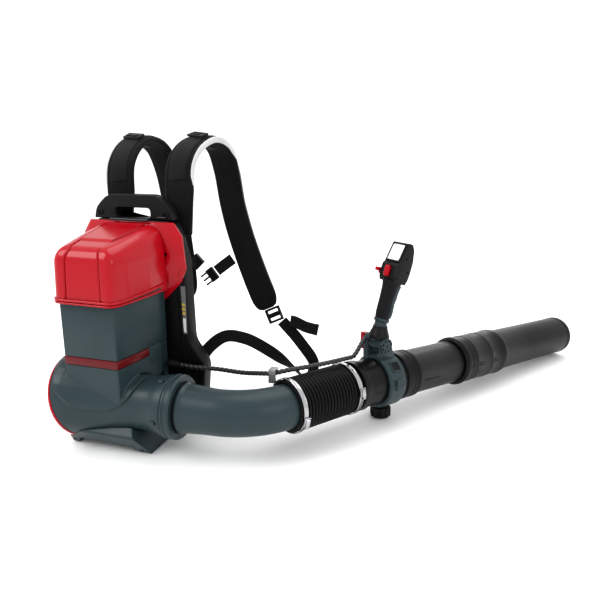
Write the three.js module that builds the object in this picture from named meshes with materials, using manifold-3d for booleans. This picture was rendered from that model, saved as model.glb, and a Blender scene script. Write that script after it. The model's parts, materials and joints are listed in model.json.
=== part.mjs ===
// Backpack leaf blower: battery tower on an axial fan barrel, elbow and bellows hose to a
// straight blow tube with a control handle, carried on a frame with a padded harness.
// Millimetres. +Z up, +Y towards the wearer's back, +X to the wearer's right (blow tube side).
// Origin: on the floor, under the middle of the back frame.
import * as THREE from 'three';
import { mergeVertices } from 'three/addons/utils/BufferGeometryUtils.js';
import Module from 'manifold-3d';

const wasm = await Module();
wasm.setup();

// ---- driving dimensions -------------------------------------------------------------------
const GAP = 0.4;                 // clearance between neighbouring pieces
const DEG = Math.PI / 180;

const FAN = { y: -126, z: 88, left: -96, right: 128 };       // axis of the fan barrel, along X
const INTAKE = { x: -74, tilt: 15 };                         // the intake end leans outward at its top
const COLLAR = { x0: FAN.right, x1: 146, r: 57 };            // outlet collar
const WALL = 3;

const TOWER = { rear: -180, front: -40, halfRear: 53, halfFront: 70 };
const Z = { neck: 150, coverTop: 167, bandTop: 183, bayFloor: 190, bayTop: 277, hoodLip: 279,
            hoodRear: 372, hoodTop: 399 };

const HINGE = { y: -33, z: 405.2 };          // hood hinge axis, along X
const FRAME = { rear: -20, front: 12, half: 106, halfLow: 138, halfTop: 84, top: 404 };
const HANDLE = { rear: -19, front: 4, top: 450, half: 84, slotHalf: 37, slotLow: 407, slotTop: 426 };

const ELBOW = { r: 41, rStart: 44.5, bend: 140, turn: 54, xBend: 204, tail: 16 };
const TUBE = { r: 46, azimuth: 34.5, drop: 3, length: 718 };   // blow tube, measured from the hose
const TUBE_START = new THREE.Vector3(404, 60, 86);
const HOSE = { r: 49, bore: 42.5, ribs: 10, overlap: 14, end: 4 };   // overlap: over the elbow's tail
const CLAMP = { y: 84, width: 44, r: 54 };
const PIVOT = { y: 70, z: 77.5 };    // handle pivot, above the tube axis
const LEAN = 19;                 // forward lean of the grip

const COLOR = {
  red: [0xc3101c, 0.28, 0.0], grey: [0x35464b, 0.45, 0.0], black: [0x0c0c0d, 0.5, 0.0],
  darkRed: [0x7c1d20, 0.4, 0.0], fabric: [0x141415, 0.95, 0.0], steel: [0xb9bcc0, 0.3, 1.0],
  rubber: [0x0b0b0c, 0.8, 0.0], glass: [0xdfe4e6, 0.15, 0.0], alloy: [0x9aa0a4, 0.4, 0.9],
};

// ---- solids -------------------------------------------------------------------------------
function toSolid(geometry) {
  let merged = geometry.clone();
  merged.deleteAttribute('normal');
  merged.deleteAttribute('uv');
  merged = mergeVertices(merged, 1e-4);
  const numbers = Float32Array.from(merged.attributes.position.array);
  const mesh = new wasm.Mesh({ numProp: 3, vertProperties: numbers, triVerts: Uint32Array.from(merged.index.array) });
  return new wasm.Manifold(mesh);
}

function toGeometry(solid) {
  const mesh = solid.getMesh();
  const geometry = new THREE.BufferGeometry();
  geometry.setAttribute('position', new THREE.BufferAttribute(mesh.vertProperties, 3));
  geometry.setIndex(new THREE.BufferAttribute(mesh.triVerts, 1));
  return geometry;
}

const cut = (geometry, ...tools) => toGeometry(tools.reduce((s, t) => s.subtract(toSolid(t)), toSolid(geometry)));
const join = (geometry, ...more) => toGeometry(more.reduce((s, t) => s.add(toSolid(t)), toSolid(geometry)));
const common = (geometry, ...more) => toGeometry(more.reduce((s, t) => s.intersect(toSolid(t)), toSolid(geometry)));

// A block between two corners.
function block(x0, x1, y0, y1, z0, z1) {
  return new THREE.BoxGeometry(x1 - x0, y1 - y0, z1 - z0)
    .translate((x0 + x1) / 2, (y0 + y1) / 2, (z0 + z1) / 2);
}

// An outline with its corners rounded: points are [x, y] or [x, y, radius].
function outline(points, steps = 4) {
  const shape = new THREE.Shape();
  const count = points.length;
  points.forEach((point, i) => {
    const [x, y, radius = 0] = point;
    const here = new THREE.Vector2(x, y);
    const before = new THREE.Vector2(...points[(i + count - 1) % count].slice(0, 2)).sub(here);
    const after = new THREE.Vector2(...points[(i + 1) % count].slice(0, 2)).sub(here);
    const reach = Math.min(radius, 0.45 * before.length(), 0.45 * after.length());
    before.setLength(reach).add(here);
    after.setLength(reach).add(here);
    const arc = radius ? new THREE.QuadraticBezierCurve(before, here, after).getPoints(steps) : [here];
    arc.forEach((p, k) => (i + k === 0 ? shape.moveTo(p.x, p.y) : shape.lineTo(p.x, p.y)));
  });
  return shape;
}

const mirrored = (half) => [...half, ...half.slice().reverse().map(([x, y, r]) => [-x, y, r])];

function prism(shape, depth) {
  return new THREE.ExtrudeGeometry(shape, { depth, bevelEnabled: false, curveSegments: 6 });
}

// Outlines drawn in the plan (X, Y), the rear view (X, Z) and the side view (Y, Z).
const planPrism = (points, z0, z1) => prism(outline(points), z1 - z0).translate(0, 0, z0);
const rearPrism = (points, y0, y1) => prism(outline(points), y1 - y0).rotateX(Math.PI / 2).translate(0, y1, 0);
const sidePrism = (points, x0, x1) => prism(outline(points), x1 - x0)
  .applyMatrix4(new THREE.Matrix4().makeBasis(
    new THREE.Vector3(0, 1, 0), new THREE.Vector3(0, 0, 1), new THREE.Vector3(1, 0, 0))).translate(x0, 0, 0);

// A turned piece: profile points are [radius, distance along the axis].
function turned(profile, segments = 32) {
  const closed = profile[0][0] === 0 ? profile : [...profile, profile[0]];
  return new THREE.LatheGeometry(closed.map(([r, y]) => new THREE.Vector2(r, y)), segments);
}
// The closed ring between an outer and an inner run of points, both listed along the axis.
const sleeve = (outer, inner, segments) => turned([...outer, ...inner.slice().reverse()], segments);
const alongX = (geometry) => geometry.rotateZ(-Math.PI / 2);
const alongZ = (geometry) => geometry.rotateX(Math.PI / 2);
const disc = (r, y0, y1, segments = 24) => turned([[0, y0], [r, y0], [r, y1], [0, y1]], segments);

// A closed skin through rings of equal point count, ends filled.
function loft(rings) {
  const count = rings[0].length;
  const positions = rings.flat().flatMap((p) => [p.x, p.y, p.z]);
  const index = [];
  for (let i = 0; i + 1 < rings.length; i += 1) {
    for (let k = 0; k < count; k += 1) {
      const a = i * count + k;
      const b = i * count + (k + 1) % count;
      index.push(a, b, a + count, b, b + count, a + count);
    }
  }
  const last = (rings.length - 1) * count;
  for (let k = 1; k + 1 < count; k += 1) {
    index.push(0, k + 1, k);
    index.push(last, last + k, last + k + 1);
  }
  const geometry = new THREE.BufferGeometry();
  geometry.setAttribute('position', new THREE.Float32BufferAttribute(positions, 3));
  geometry.setIndex(index);
  return geometry;
}

// A flat band along a smooth route. side(t) is the band's width direction there.
function band(route, width, thickness, side, steps = 14) {
  const curve = new THREE.CatmullRomCurve3(route.map((p) => new THREE.Vector3(...p)));
  const rings = [];
  for (let i = 0; i <= steps; i += 1) {
    const t = i / steps;
    const centre = curve.getPointAt(t);
    const forward = curve.getTangentAt(t);
    const across = side(t).clone();
    across.addScaledVector(forward, -across.dot(forward)).normalize();
    const up = new THREE.Vector3().crossVectors(forward, across);
    const w = (typeof width === 'function' ? width(t) : width) / 2;
    const h = thickness / 2;
    const bevel = Math.min(h, 4);
    rings.push([[w, -h + bevel], [w, h - bevel], [w - bevel, h], [-w + bevel, h],
      [-w, h - bevel], [-w, -h + bevel], [-w + bevel, -h], [w - bevel, -h]]
      .map(([a, b]) => centre.clone().addScaledVector(across, a).addScaledVector(up, b)));
  }
  return loft(rings);
}

function cable(route, radius, steps) {
  const circle = new THREE.Shape();
  circle.absarc(0, 0, radius, 0, 2 * Math.PI);
  const path = new THREE.CatmullRomCurve3(route.map((p) => new THREE.Vector3(...p)));
  return new THREE.ExtrudeGeometry(circle, { steps, extrudePath: path, curveSegments: 4 });
}

const object = new THREE.Group();
function piece(name, geometry, look, parent = object) {
  const [color, roughness, metalness] = COLOR[look];
  const mesh = new THREE.Mesh(geometry, new THREE.MeshStandardMaterial({ color, roughness, metalness }));
  mesh.name = name;
  parent.add(mesh);
  return mesh;
}

// ---- tower plan ---------------------------------------------------------------------------
// Trapezoid with a flat rear face, sides that spread towards the frame; grow moves it outward.
const towerHalf = (y) => TOWER.halfRear
  + (TOWER.halfFront - TOWER.halfRear) * Math.min(1, Math.pow((y - TOWER.rear) / 115, 0.75));
const towerPlan = (grow = 0, front = TOWER.front) => mirrored([
  [TOWER.halfRear + grow, TOWER.rear - grow, 3],
  ...[-150, -115, -65].filter((y) => y < front - 5).map((y) => [towerHalf(y) + grow, y]),
  [towerHalf(front) + grow, front],
]);

// ---- fan barrel ---------------------------------------------------------------------------
const barrelOuter = (grow) => [[70, FAN.left], [76, -84], [78, -76], [77, -62], [72, -40], [64, -10],
  [57, 22], [52, 55], [50.5, 78], [52, 98], [55.5, 114], [57, FAN.right]].map(([r, x]) => [r + grow, x]);
const barrel = (grow) => alongX(turned([[0, FAN.left], ...barrelOuter(grow), [0, FAN.right]], 32))
  .translate(0, FAN.y, FAN.z);
const atIntake = (geometry) => geometry.rotateY(-INTAKE.tilt * DEG).translate(INTAKE.x, FAN.y, FAN.z);
const neck = (grow) => planPrism(towerPlan(grow - 7, TOWER.front - 2 + grow), 90, Z.coverTop + grow);

// Flush flank of the housing beside the lower cover, from the barrel up to the tower.
const flank = common(planPrism(towerPlan(0, TOWER.front - 2), 90, Z.bandTop - GAP),
  block(-100, 100, -58 + GAP, TOWER.front - 1, 80, 200));
piece('fan_housing', cut(join(barrel(0), neck(0), flank),
  alongX(turned([[0, FAN.left - 1], [72, FAN.left - 1], [73, -60], [66, -40], [58, -10], [52.5, 22], [48, 55],
    [46.6, 78], [48, 98], [51, 114], [52, FAN.right + 1], [0, FAN.right + 1]], 32)).translate(0, FAN.y, FAN.z),
  atIntake(block(-90, 0, -120, 120, -120, 120)),
  planPrism(towerPlan(-6.6, -30), Z.coverTop - 1, 200),
  planPrism(towerPlan(-11, TOWER.front - 6), Z.neck + 6, Z.coverTop + 1)), 'grey');

piece('outlet_collar', alongX(sleeve(
  [[56.5, COLLAR.x0 + GAP], [58, COLLAR.x0 + 4], [58, COLLAR.x1 - 4], [56, COLLAR.x1]],
  [[51, COLLAR.x0 + GAP], [51, COLLAR.x1 - 9], [46, COLLAR.x1 - 7], [46, COLLAR.x1]], 32))
  .translate(0, FAN.y, FAN.z), 'grey');

// Intake grille: a dished red disc with rings of slots.
{
  const slots = [];
  for (const [inner, outer, count] of [[18, 38, 6], [43, 60, 8]]) {
    for (let k = 0; k < count; k += 1) {
      const slot = outline([[inner, -3.2], [outer, -3.2], [outer, 3.2], [inner, 3.2]]);
      slots.push(atIntake(prism(slot, 30).rotateY(-Math.PI / 2).rotateX(2 * Math.PI * k / count).translate(5, 0, 0)));
    }
  }
  const plate = alongX(turned([[0, -15], [38, -14], [60, -10], [69, -3], [70, -GAP], [65, -GAP], [58, -6],
    [36, -9], [0, -10]], 32));
  piece('intake_grille', cut(atIntake(plate), ...slots), 'red');
}

// Motor on a hub with guide vanes, downstream of the impeller.
{
  const hub = alongX(sleeve([[26, 20], [26, 80], [14, 104]], [[21.5, 20], [21.5, 78], [6, 78]], 24));
  const vanes = [];
  for (let k = 0; k < 5; k += 1) {
    vanes.push(block(30, 54, -1.5, 1.5, 24, 45.5).rotateX(2 * Math.PI * k / 5));
  }
  const shroud = alongX(sleeve([[50.5, 26], [46.4, 56]], [[48, 26], [44.2, 56]], 32));
  piece('motor_mount', join(hub, shroud, ...vanes).translate(0, FAN.y, FAN.z), 'black');
  piece('motor', alongX(disc(21, 16, 77.5)).translate(0, FAN.y, FAN.z), 'alloy');
}
piece('motor_shaft', alongX(disc(4, -31, 15.5, 12)).translate(0, FAN.y, FAN.z), 'steel');
{
  const hub = alongX(sleeve([[8, -40], [20, -30], [24, -10], [24, 12]], [[4.4, -40], [4.4, 12]], 24));
  const blades = [];
  for (let k = 0; k < 7; k += 1) {
    blades.push(new THREE.BoxGeometry(30, 2.4, 30).rotateZ(38 * DEG).translate(-13, 0, 36)
      .rotateX(2 * Math.PI * k / 7));
  }
  piece('impeller', join(hub, ...blades).translate(0, FAN.y, FAN.z), 'black');
}

// ---- tower --------------------------------------------------------------------------------
// The cover hangs from the band as a U and laps the barrel with a thin skin.
const coverU = (front) => rearPrism(mirrored([[100, Z.bandTop + 1], [84, 152, 10], [62, 108, 22], [34, 90, 14]]),
  -200, front);
piece('lower_cover', cut(
  join(common(planPrism(towerPlan(0, -58), 60, Z.coverTop - GAP), coverU(-50)),
    common(planPrism(towerPlan(0, -58), 60, Z.bandTop - GAP), coverU(-50),
      block(-100, 100, -98 + GAP, -58, 60, 200)),
    common(barrel(3.4), coverU(-130), block(-100, 100, -200, -130, 60, Z.coverTop - GAP))),
  barrel(GAP), neck(GAP), planPrism(towerPlan(-6.6, -30), Z.coverTop - 1, 200)), 'grey');

piece('accent_band', cut(planPrism(towerPlan(0.8, -98), Z.coverTop, Z.bandTop - GAP),
  planPrism(towerPlan(-6, 0), Z.coverTop - 1, Z.bandTop)), 'darkRed');

piece('battery_bay', cut(
  join(planPrism(towerPlan(0), Z.bandTop, Z.bayTop),
    planPrism(towerPlan(-7, -44), Z.coverTop + 1, Z.bandTop)),
  planPrism(towerPlan(-5, -46), Z.bayFloor, Z.bayTop + 1)), 'grey');

piece('battery_terminal', block(-28, 28, -70, -56, Z.bayFloor + GAP, Z.bayFloor + 26), 'black');
piece('controller_box', block(-42, 42, -150, -62, Z.neck + 7, Z.coverTop - 2), 'alloy');
piece('battery_pack', join(block(-53, 53, -138, -74, Z.bayFloor + GAP, 352),
  block(-32, 32, -128, -84, 351, 366)), 'black');

// ---- hood ---------------------------------------------------------------------------------
// Plan, side and rear outlines meet in one shell, open at the front; inset thins the walls.
const hoodBody = (inset) => {
  const front = inset ? -38 : -41;
  return common(
    planPrism(mirrored([[59 - inset, -185 + inset, 10], [67 - inset, -150, 8], [74 - inset, -90, 8],
      [77 - inset, front]]), Z.hoodLip - (inset ? 1 : 0), Z.hoodTop + 8),
    sidePrism([[front, Z.hoodLip - 1], [front, Z.hoodTop - inset], [-163, Z.hoodRear + 6 - inset, 14],
      [-183 + inset, Z.hoodRear - 20, 16], [-187 + inset, Z.hoodLip - 1]], -120, 120),
    rearPrism(mirrored([[80 - inset, Z.hoodLip - 2], [79 - inset, 350, 20],
      [66 - inset, Z.hoodTop + 2 - inset, 14]]), -200, -30));
};
const hood = new THREE.Group();
object.add(hood);
piece('battery_hood', cut(hoodBody(0), hoodBody(3)), 'red', hood);

// Bevelled eight-sided flange between the hood and the frame.
const octagon = (grow) => mirrored([[88, 402], [104, 378], [110, 318], [98, 290], [60, 252]]
  .map(([x, z]) => [x + grow, z + (z > 330 ? grow : -grow)]));
const octagonRing = (grow, y) => octagon(grow).map(([x, z]) => new THREE.Vector3(x, y, z));
piece('hood_surround', cut(loft([octagonRing(-18, -39.5), octagonRing(0, -27), octagonRing(0, -22)]),
  rearPrism(octagon(-30), -50, -10)), 'red');

piece('hood_hinge_pin', alongX(disc(2.5, -40, 40, 12)).translate(0, HINGE.y, HINGE.z), 'steel');

// ---- frame, foot and carry handle ------------------------------------------------------------
piece('back_frame', rearPrism(mirrored([[96, 0, 8], [FRAME.halfLow - 8, 48, 20], [FRAME.halfLow, 130, 14],
  [FRAME.half + 2, 172, 12], [FRAME.half - 2, 330], [FRAME.halfTop, FRAME.top, 16]]), FRAME.rear, FRAME.front), 'black');

piece('carry_handle', cut(rearPrism(mirrored([[HANDLE.half, FRAME.top + GAP], [HANDLE.half - 4, 424, 10],
  [54, HANDLE.top, 18]]), HANDLE.rear, HANDLE.front),
rearPrism(mirrored([[HANDLE.slotHalf, HANDLE.slotLow, 5], [HANDLE.slotHalf, HANDLE.slotTop, 8]]),
  HANDLE.rear - 1, HANDLE.front + 1)), 'black');

// Foot: a skid with an arch between its two ends, under the barrel.
{
  const side = [[-152, 0, 2], [-181, 40, 4], [-160, 62], [-60, 62], [-24, 20], [-24, 0]];
  const rear = [[-76, 0], [-70, 24, 10], [-30, 64, 16], [60, 64, 16], [88, 12, 6], [92, 0],
    [62, 0], [54, 15, 8], [-54, 15, 8], [-62, 0]];
  piece('base_foot', cut(common(sidePrism(side, -100, 130), rearPrism(rear, -190, -20)), barrel(GAP),
    block(-56, 60, -140, -40, -1, 26)), 'grey');
}
piece('back_pad', rearPrism(mirrored([[70, 120, 20], [78, 240, 20], [66, 352, 20]]), FRAME.front + GAP, 34), 'fabric');

// ---- elbow ----------------------------------------------------------------------------------
const elbow = new THREE.Group();
object.add(elbow);
const elbowEnd = new THREE.Vector3();
{
  // Centre line: straight out of the collar, an arc, and a short straight tail into the hose.
  const ring = ({ x, y, angle }, r) => Array.from({ length: 24 }, (_, k) => {
    const a = 2 * Math.PI * k / 24;
    return new THREE.Vector3(x - r * Math.cos(a) * Math.sin(angle), y + r * Math.cos(a) * Math.cos(angle),
      FAN.z + r * Math.sin(a));
  });
  const line = [{ x: COLLAR.x1 - 6.5, y: FAN.y, angle: 0 }, { x: 172, y: FAN.y, angle: 0 }];
  for (let i = 0; i <= 6; i += 1) {
    const angle = ELBOW.turn * DEG * i / 6;
    line.push({ x: ELBOW.xBend + ELBOW.bend * Math.sin(angle),
      y: FAN.y + ELBOW.bend * (1 - Math.cos(angle)), angle });
  }
  const last = line.at(-1);
  const onward = (from, by) => ({ x: from.x + by * Math.cos(from.angle), y: from.y + by * Math.sin(from.angle),
    angle: from.angle });
  line.push(onward(last, ELBOW.tail));
  elbowEnd.set(line.at(-1).x, line.at(-1).y, FAN.z);
  const radius = (i) => [ELBOW.rStart, 42.5][i] ?? ELBOW.r;
  const outside = loft(line.map((place, i) => ring(place, radius(i))));
  const through = [onward(line[0], -1), ...line.slice(1, -1), onward(line.at(-1), 1)];
  const inside = loft(through.map((place, i) => ring(place, radius(i) - WALL)));
  piece('elbow_duct', cut(outside, inside), 'grey', elbow);
}

// ---- bellows hose ---------------------------------------------------------------------------
// Straight from the elbow's tail to the blow tube, +Y along its axis.
const hose = new THREE.Group();
const hoseRun = TUBE_START.clone().sub(elbowEnd);
const hoseLength = hoseRun.length();
hose.position.copy(elbowEnd);
hose.quaternion.setFromUnitVectors(new THREE.Vector3(0, 1, 0), hoseRun.normalize());
object.add(hose);
{
  const outer = [];
  const pitch = (hoseLength - HOSE.end + HOSE.overlap) / HOSE.ribs;
  for (let i = 0; i < HOSE.ribs; i += 1) {
    const y = i * pitch - HOSE.overlap;
    outer.push([HOSE.r - 4, y], [HOSE.r, y + pitch / 2]);
  }
  outer.push([HOSE.r - 4, hoseLength - HOSE.end]);
  piece('bellows_hose', sleeve(outer, [[HOSE.bore, -HOSE.overlap], [HOSE.bore, hoseLength - HOSE.end]], 24),
    'rubber', hose);
}
// Worm-drive band with its screw housing.
const wormClamp = (r, y, turn) => join(sleeve([[r + 1.4, y], [r + 1.4, y + 12]], [[r, y], [r, y + 12]], 24),
  block(-9, 9, y - 1, y + 13, r + 0.8, r + 9).rotateY(turn * DEG));

piece('hose_clamp_inner', wormClamp(HOSE.r + 0.6, -HOSE.overlap + 3, 105), 'steel', hose);
piece('hose_clamp_outer', wormClamp(HOSE.r + 0.6, hoseLength - HOSE.end - 14, 80), 'steel', hose);

// ---- blow tube ------------------------------------------------------------------------------
// In this group +Y runs along the tube axis away from the hose, +Z is up.
const tube = new THREE.Group();
tube.position.copy(TUBE_START);
tube.rotation.set(-TUBE.drop * DEG, 0, -TUBE.azimuth * DEG, 'ZXY');
object.add(tube);

// Joints along the tube: the swivel ends at JOINT, the nozzle telescopes over the middle tube.
const JOINT = 142;
piece('swivel_tube', sleeve([[49, GAP], [49, 18], [TUBE.r, 22],
  [TUBE.r, JOINT - 26], [49.5, JOINT - 24], [49.5, JOINT]], [[42.5, GAP], [43, JOINT]], 32), 'black', tube);

const middle = new THREE.Group();
tube.add(middle);
piece('middle_tube', sleeve([[49.5, JOINT + GAP], [49.5, JOINT + 14], [TUBE.r, JOINT + 18], [TUBE.r, 290],
  [44.5, 294], [44.5, 352]], [[42, JOINT + GAP], [42, 352]], 32), 'black', middle);
const nozzle = new THREE.Group();
middle.add(nozzle);
piece('nozzle_tube', sleeve([[47.5, 298], [51, 302], [53, 304], [53, 312], [51, 316], [51, 430],
  [52, 434], [52, 444], [47, 452], [TUBE.r, 560], [45.5, TUBE.length - 4]],
[[45, 298], [45, 365], [43, 375], [42, TUBE.length - 4]], 32), 'black', nozzle);
piece('nozzle_rim', sleeve([[45.2, TUBE.length - 3.6], [46.1, TUBE.length - 1], [45, TUBE.length + 9]],
  [[42, TUBE.length - 3.6], [42.5, TUBE.length + 9]], 32), 'rubber', nozzle);

// Clamp ring in two halves, with a knurled knob below and a fork for the handle above.
{
  const half = CLAMP.width / 2;
  const ring = sleeve([[CLAMP.r - 3, CLAMP.y - half], [CLAMP.r, CLAMP.y - half + 3], [CLAMP.r, CLAMP.y + half - 3],
    [CLAMP.r - 3, CLAMP.y + half]], [[TUBE.r + GAP, CLAMP.y - half], [TUBE.r + GAP, CLAMP.y + half]], 32);
  const above = block(-90, 90, CLAMP.y - 40, CLAMP.y + 40, GAP / 2 + 6, 120);
  const below = block(-90, 90, CLAMP.y - 40, CLAMP.y + 40, -120, 6 - GAP / 2);
  const lug = (x0, x1) => sidePrism([[CLAMP.y - 22, 44], [PIVOT.y - 12, PIVOT.z + 11, 8],
    [PIVOT.y + 12, PIVOT.z + 11, 8], [CLAMP.y + 20, 44]], x0, x1);
  const ear = (side) => block(side * 54 - 4, side * 54 + 4, CLAMP.y - 10, CLAMP.y + 10, -5, 16);
  const bore = alongX(disc(4.4, -40, 40, 16)).translate(0, PIVOT.y, PIVOT.z);
  const inside = disc(TUBE.r + GAP, CLAMP.y - 60, CLAMP.y + 60, 32);
  piece('clamp_ring_upper', cut(common(join(ring, lug(-30, -14.8), lug(14.8, 19.4), ear(-1), ear(1)), above), bore, inside), 'grey', tube);
  const boss = disc(12, 46, 57, 20).rotateX(-Math.PI / 2).translate(0, CLAMP.y, 0);
  piece('clamp_ring_lower', cut(common(join(ring, boss, ear(-1), ear(1)), below), inside), 'grey', tube);
  const knob = [];
  for (let k = 0; k < 10; k += 1) {
    knob.push(disc(3.6, 58.6, 78, 8).translate(17.5, 0, 0).rotateY(2 * Math.PI * k / 10));
  }
  piece('clamp_knob', join(disc(18, 58.4, 79.2, 24), ...knob).rotateX(-Math.PI / 2 + TUBE.drop * DEG)
    .translate(0, CLAMP.y + 4, -0.3), 'black', tube);
  piece('pivot_pin', alongX(disc(3.9, -29.5, 19.2, 16)).translate(0, PIVOT.y, PIVOT.z), 'steel', tube);
  const star = [];
  for (let k = 0; k < 8; k += 1) {
    star.push(block(19.8, 26, -2.6, 2.6, 0, 14).rotateX(2 * Math.PI * k / 8));
  }
  const rim = alongX(sleeve([[15.4, 19.8], [15.4, 25]], [[12.6, 19.8], [12.6, 25]], 24));
  piece('pivot_hub', join(alongX(disc(8, 19.8, 26)), rim, ...star).translate(0, PIVOT.y, PIVOT.z), 'grey', tube);
  piece('pivot_knob', join(alongX(disc(7, -40, -30.4)), block(-44, -34, -6, 6, -20, 14))
    .translate(0, PIVOT.y, PIVOT.z), 'red', tube);
}

// ---- control handle -------------------------------------------------------------------------
// Origin at the pivot, +Z up, +Y forward along the tube.
const handle = new THREE.Group();
handle.position.set(0, PIVOT.y, PIVOT.z);
handle.rotation.x = TUBE.drop * DEG;
const GRIP_FOOT = [0, 7, 43];        // where the grip starts, above and ahead of the pivot
tube.add(handle);
{
  const knuckle = alongX(disc(11, -14.4, 14.4));
  const bell = alongZ(turned([[0, 6], [13, 6], [19.5, 14], [20, 18], [16.5, 27], [13.5, 34], [12.8, 39], [0, 39]], 24))
    .rotateX(-9 * DEG);
  const neckUp = alongZ(disc(12.4, -12, 0)).rotateX(-LEAN * DEG).translate(...GRIP_FOOT);
  piece('handle_base', cut(join(knuckle, bell, neckUp), alongX(disc(4.4, -20, 20, 16)),
    block(-40, -14.4, -30, 30, -20, 15), block(14.4, 40, -30, 30, -20, 15)), 'grey', handle);
}
const grip = new THREE.Group();
grip.position.set(...GRIP_FOOT);
grip.rotation.x = -LEAN * DEG;
handle.add(grip);
{
  const oval = (a, b, y, z) => Array.from({ length: 20 }, (_, k) => {
    const t = 2 * Math.PI * k / 20;
    return new THREE.Vector3(a * Math.cos(t), y + b * Math.sin(t), z);
  });
  piece('handle_ferrule', loft([oval(13.5, 13.5, 0, 0.4), oval(14.5, 15, 0, 7)]), 'grey', grip);
  const body = loft([oval(13, 14, 0, 7.4), oval(14, 16, 0, 20), oval(13.5, 15.5, -1, 45), oval(14.5, 18, 0, 70),
    oval(16, 20, 0, 80)]);
  piece('grip', cut(body, block(-5, 5, 3, 30, 35, 73)), 'rubber', grip);
  piece('trigger', common(join(sidePrism([[7.9, 38], [19.5, 36, 3], [23.5, 52, 6], [21.5, 68, 3], [7.9, 70]],
    -4.4, 4.4)), block(-5, 5, 7.6, 40, 30, 72)), 'darkRed', grip);

  // The screen looks back over the thumb, on the sloping rear face of the head.
  const head = sidePrism([[-15, 80.4], [-20, 90, 5], [-19, 114, 3], [-15, 118, 2], [-5, 160, 3], [8, 161, 4],
    [17, 150, 3], [19, 138, 4], [25, 128, 5], [25, 104, 8], [16, 80.4]], -20, 20);
  const corners = planPrism(mirrored([[15, -30], [20, -22], [20, 20], [14, 32]]), 70, 170);
  const atScreen = (geometry) => geometry.rotateX(76.6 * DEG).translate(0, -10, 139);
  piece('control_head', cut(common(head, corners), atScreen(block(-16, 16, -17.5, 17.5, -3, 3)),
    block(-6.4, 6.4, -30, -16, 88.6, 111.4), block(-5.4, 5.4, 20, 32, 112, 126)), 'black', grip);
  piece('display', atScreen(block(-15.6, 15.6, -17.1, 17.1, -2.6, 0.8)), 'glass', grip);
  piece('thumb_button', block(-6, 6, -25, -18.2, 89, 111), 'red', grip);
  piece('mode_button', block(-5, 5, 22.4, 29, 112.4, 125.6), 'red', grip);
  piece('cruise_lever', join(block(-28, -20.4, -16, -4, 92, 104), block(-29, -22, -26, -12, 96, 103)), 'red', grip);
}

// ---- control cable --------------------------------------------------------------------------
const CABLE_R = 4.5;
const CABLE = {
  exit: [102, -50, 136], clip: [292, -51, 142], hoseEnd: [408, 66, 146], handle: [418.5, 118, 176],
};
piece('cable_boot', turned([[0, 0], [9, 0], [9, 4], [5.2, 22], [0, 22]], 16).rotateZ(-Math.PI / 2)
  .translate(CABLE.exit[0] - 23.1, CABLE.exit[1], CABLE.exit[2]), 'black');
piece('cable_body', cable([CABLE.exit, [125, -46, 133], [170, -32, 129], [222, -34, 129], [262, -46, 137],
  [CABLE.clip[0] - 6.6, CABLE.clip[1] - 1.8, CABLE.clip[2]]], CABLE_R, 12), 'black');
piece('cable_hose', cable([[CABLE.clip[0] - 3, CABLE.clip[1] - 1, CABLE.clip[2]], [312, -38, 146],
  [345, -10, 147], [378, 26, 147], CABLE.hoseEnd], CABLE_R, 10), 'black');
piece('cable_handle', cable([[CABLE.hoseEnd[0] + 0.7, CABLE.hoseEnd[1] + 1.2, CABLE.hoseEnd[2]], [416, 82, 150],
  [420, 98, 160], [418, 110, 170], CABLE.handle], CABLE_R, 8), 'black');
piece('cable_clip', join(block(284, 297, -61, -57.6, 127, 152), block(284, 297, -61, -43, 149, 152)), 'steel');

// ---- harness --------------------------------------------------------------------------------
const X_AXIS = new THREE.Vector3(1, 0, 0);
const across = () => X_AXIS;
const PAD = { width: 58, thickness: 15 };
const STRAPS = {
  right: [[78, 24, 372], [76, 26, 448], [70, 45, 502], [72, 85, 536], [84, 125, 548], [95, 165, 531], [97, 195, 485],
    [103, 210, 410], [122, 206, 346], [154, 196, 270], [192, 184, 192]],
  left: [[-52, 24, 372], [-52, 26, 444], [-60, 45, 500], [-62, 85, 536], [-56, 125, 548], [-49, 165, 531],
    [-45, 195, 483], [-38, 208, 405], [-27, 204, 328], [-17, 198, 262], [-10, 190, 200]],
};
const padWidth = (t) => PAD.width * Math.min(1, 0.72 + 2.2 * t, 0.45 + 9 * (1 - t));
for (const [side, route] of Object.entries(STRAPS)) {
  piece(side + '_strap_pad', band(route, padWidth, PAD.thickness, across, 16), 'fabric');
}
// A place on a strap: t along it, lift out from its outer face, slide across its width.
function onStrap(route, t, lift, slide = 0) {
  const curve = new THREE.CatmullRomCurve3(route.map((p) => new THREE.Vector3(...p)));
  const forward = curve.getTangentAt(t);
  const wide = X_AXIS.clone().addScaledVector(forward, -X_AXIS.dot(forward)).normalize();
  const out = new THREE.Vector3().crossVectors(wide, forward);
  const place = curve.getPointAt(t).addScaledVector(out, PAD.thickness / 2 + lift).addScaledVector(wide, slide);
  return new THREE.Matrix4().makeBasis(wide, forward, out).setPosition(place);
}
for (const [side, route] of Object.entries(STRAPS)) {
  const slider = cut(block(-19, 19, -11, 11, 2.5, 7), block(-14, 14, -7.5, -2, 0, 9), block(-14, 14, 2, 7.5, 0, 9));
  piece(side + '_slider', slider.applyMatrix4(onStrap(route, 0.33, 0)), 'black');
}
const ladder = () => cut(block(-17, 17, -16, 16, -3, 4), block(-12.5, 12.5, -11, -5, -5, 6),
  block(-12.5, 12.5, 5, 11, -5, 6));
piece('right_ladder_lock', ladder().applyMatrix4(onStrap(STRAPS.right, 1, -7, 0)
  .multiply(new THREE.Matrix4().makeTranslation(7, 17, 0))), 'black');
piece('left_ladder_lock', ladder().applyMatrix4(onStrap(STRAPS.left, 1, -7, 0)
  .multiply(new THREE.Matrix4().makeTranslation(0, 17, 0))), 'black');
const WEB = { width: 24, thickness: 2.4 };
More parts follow.
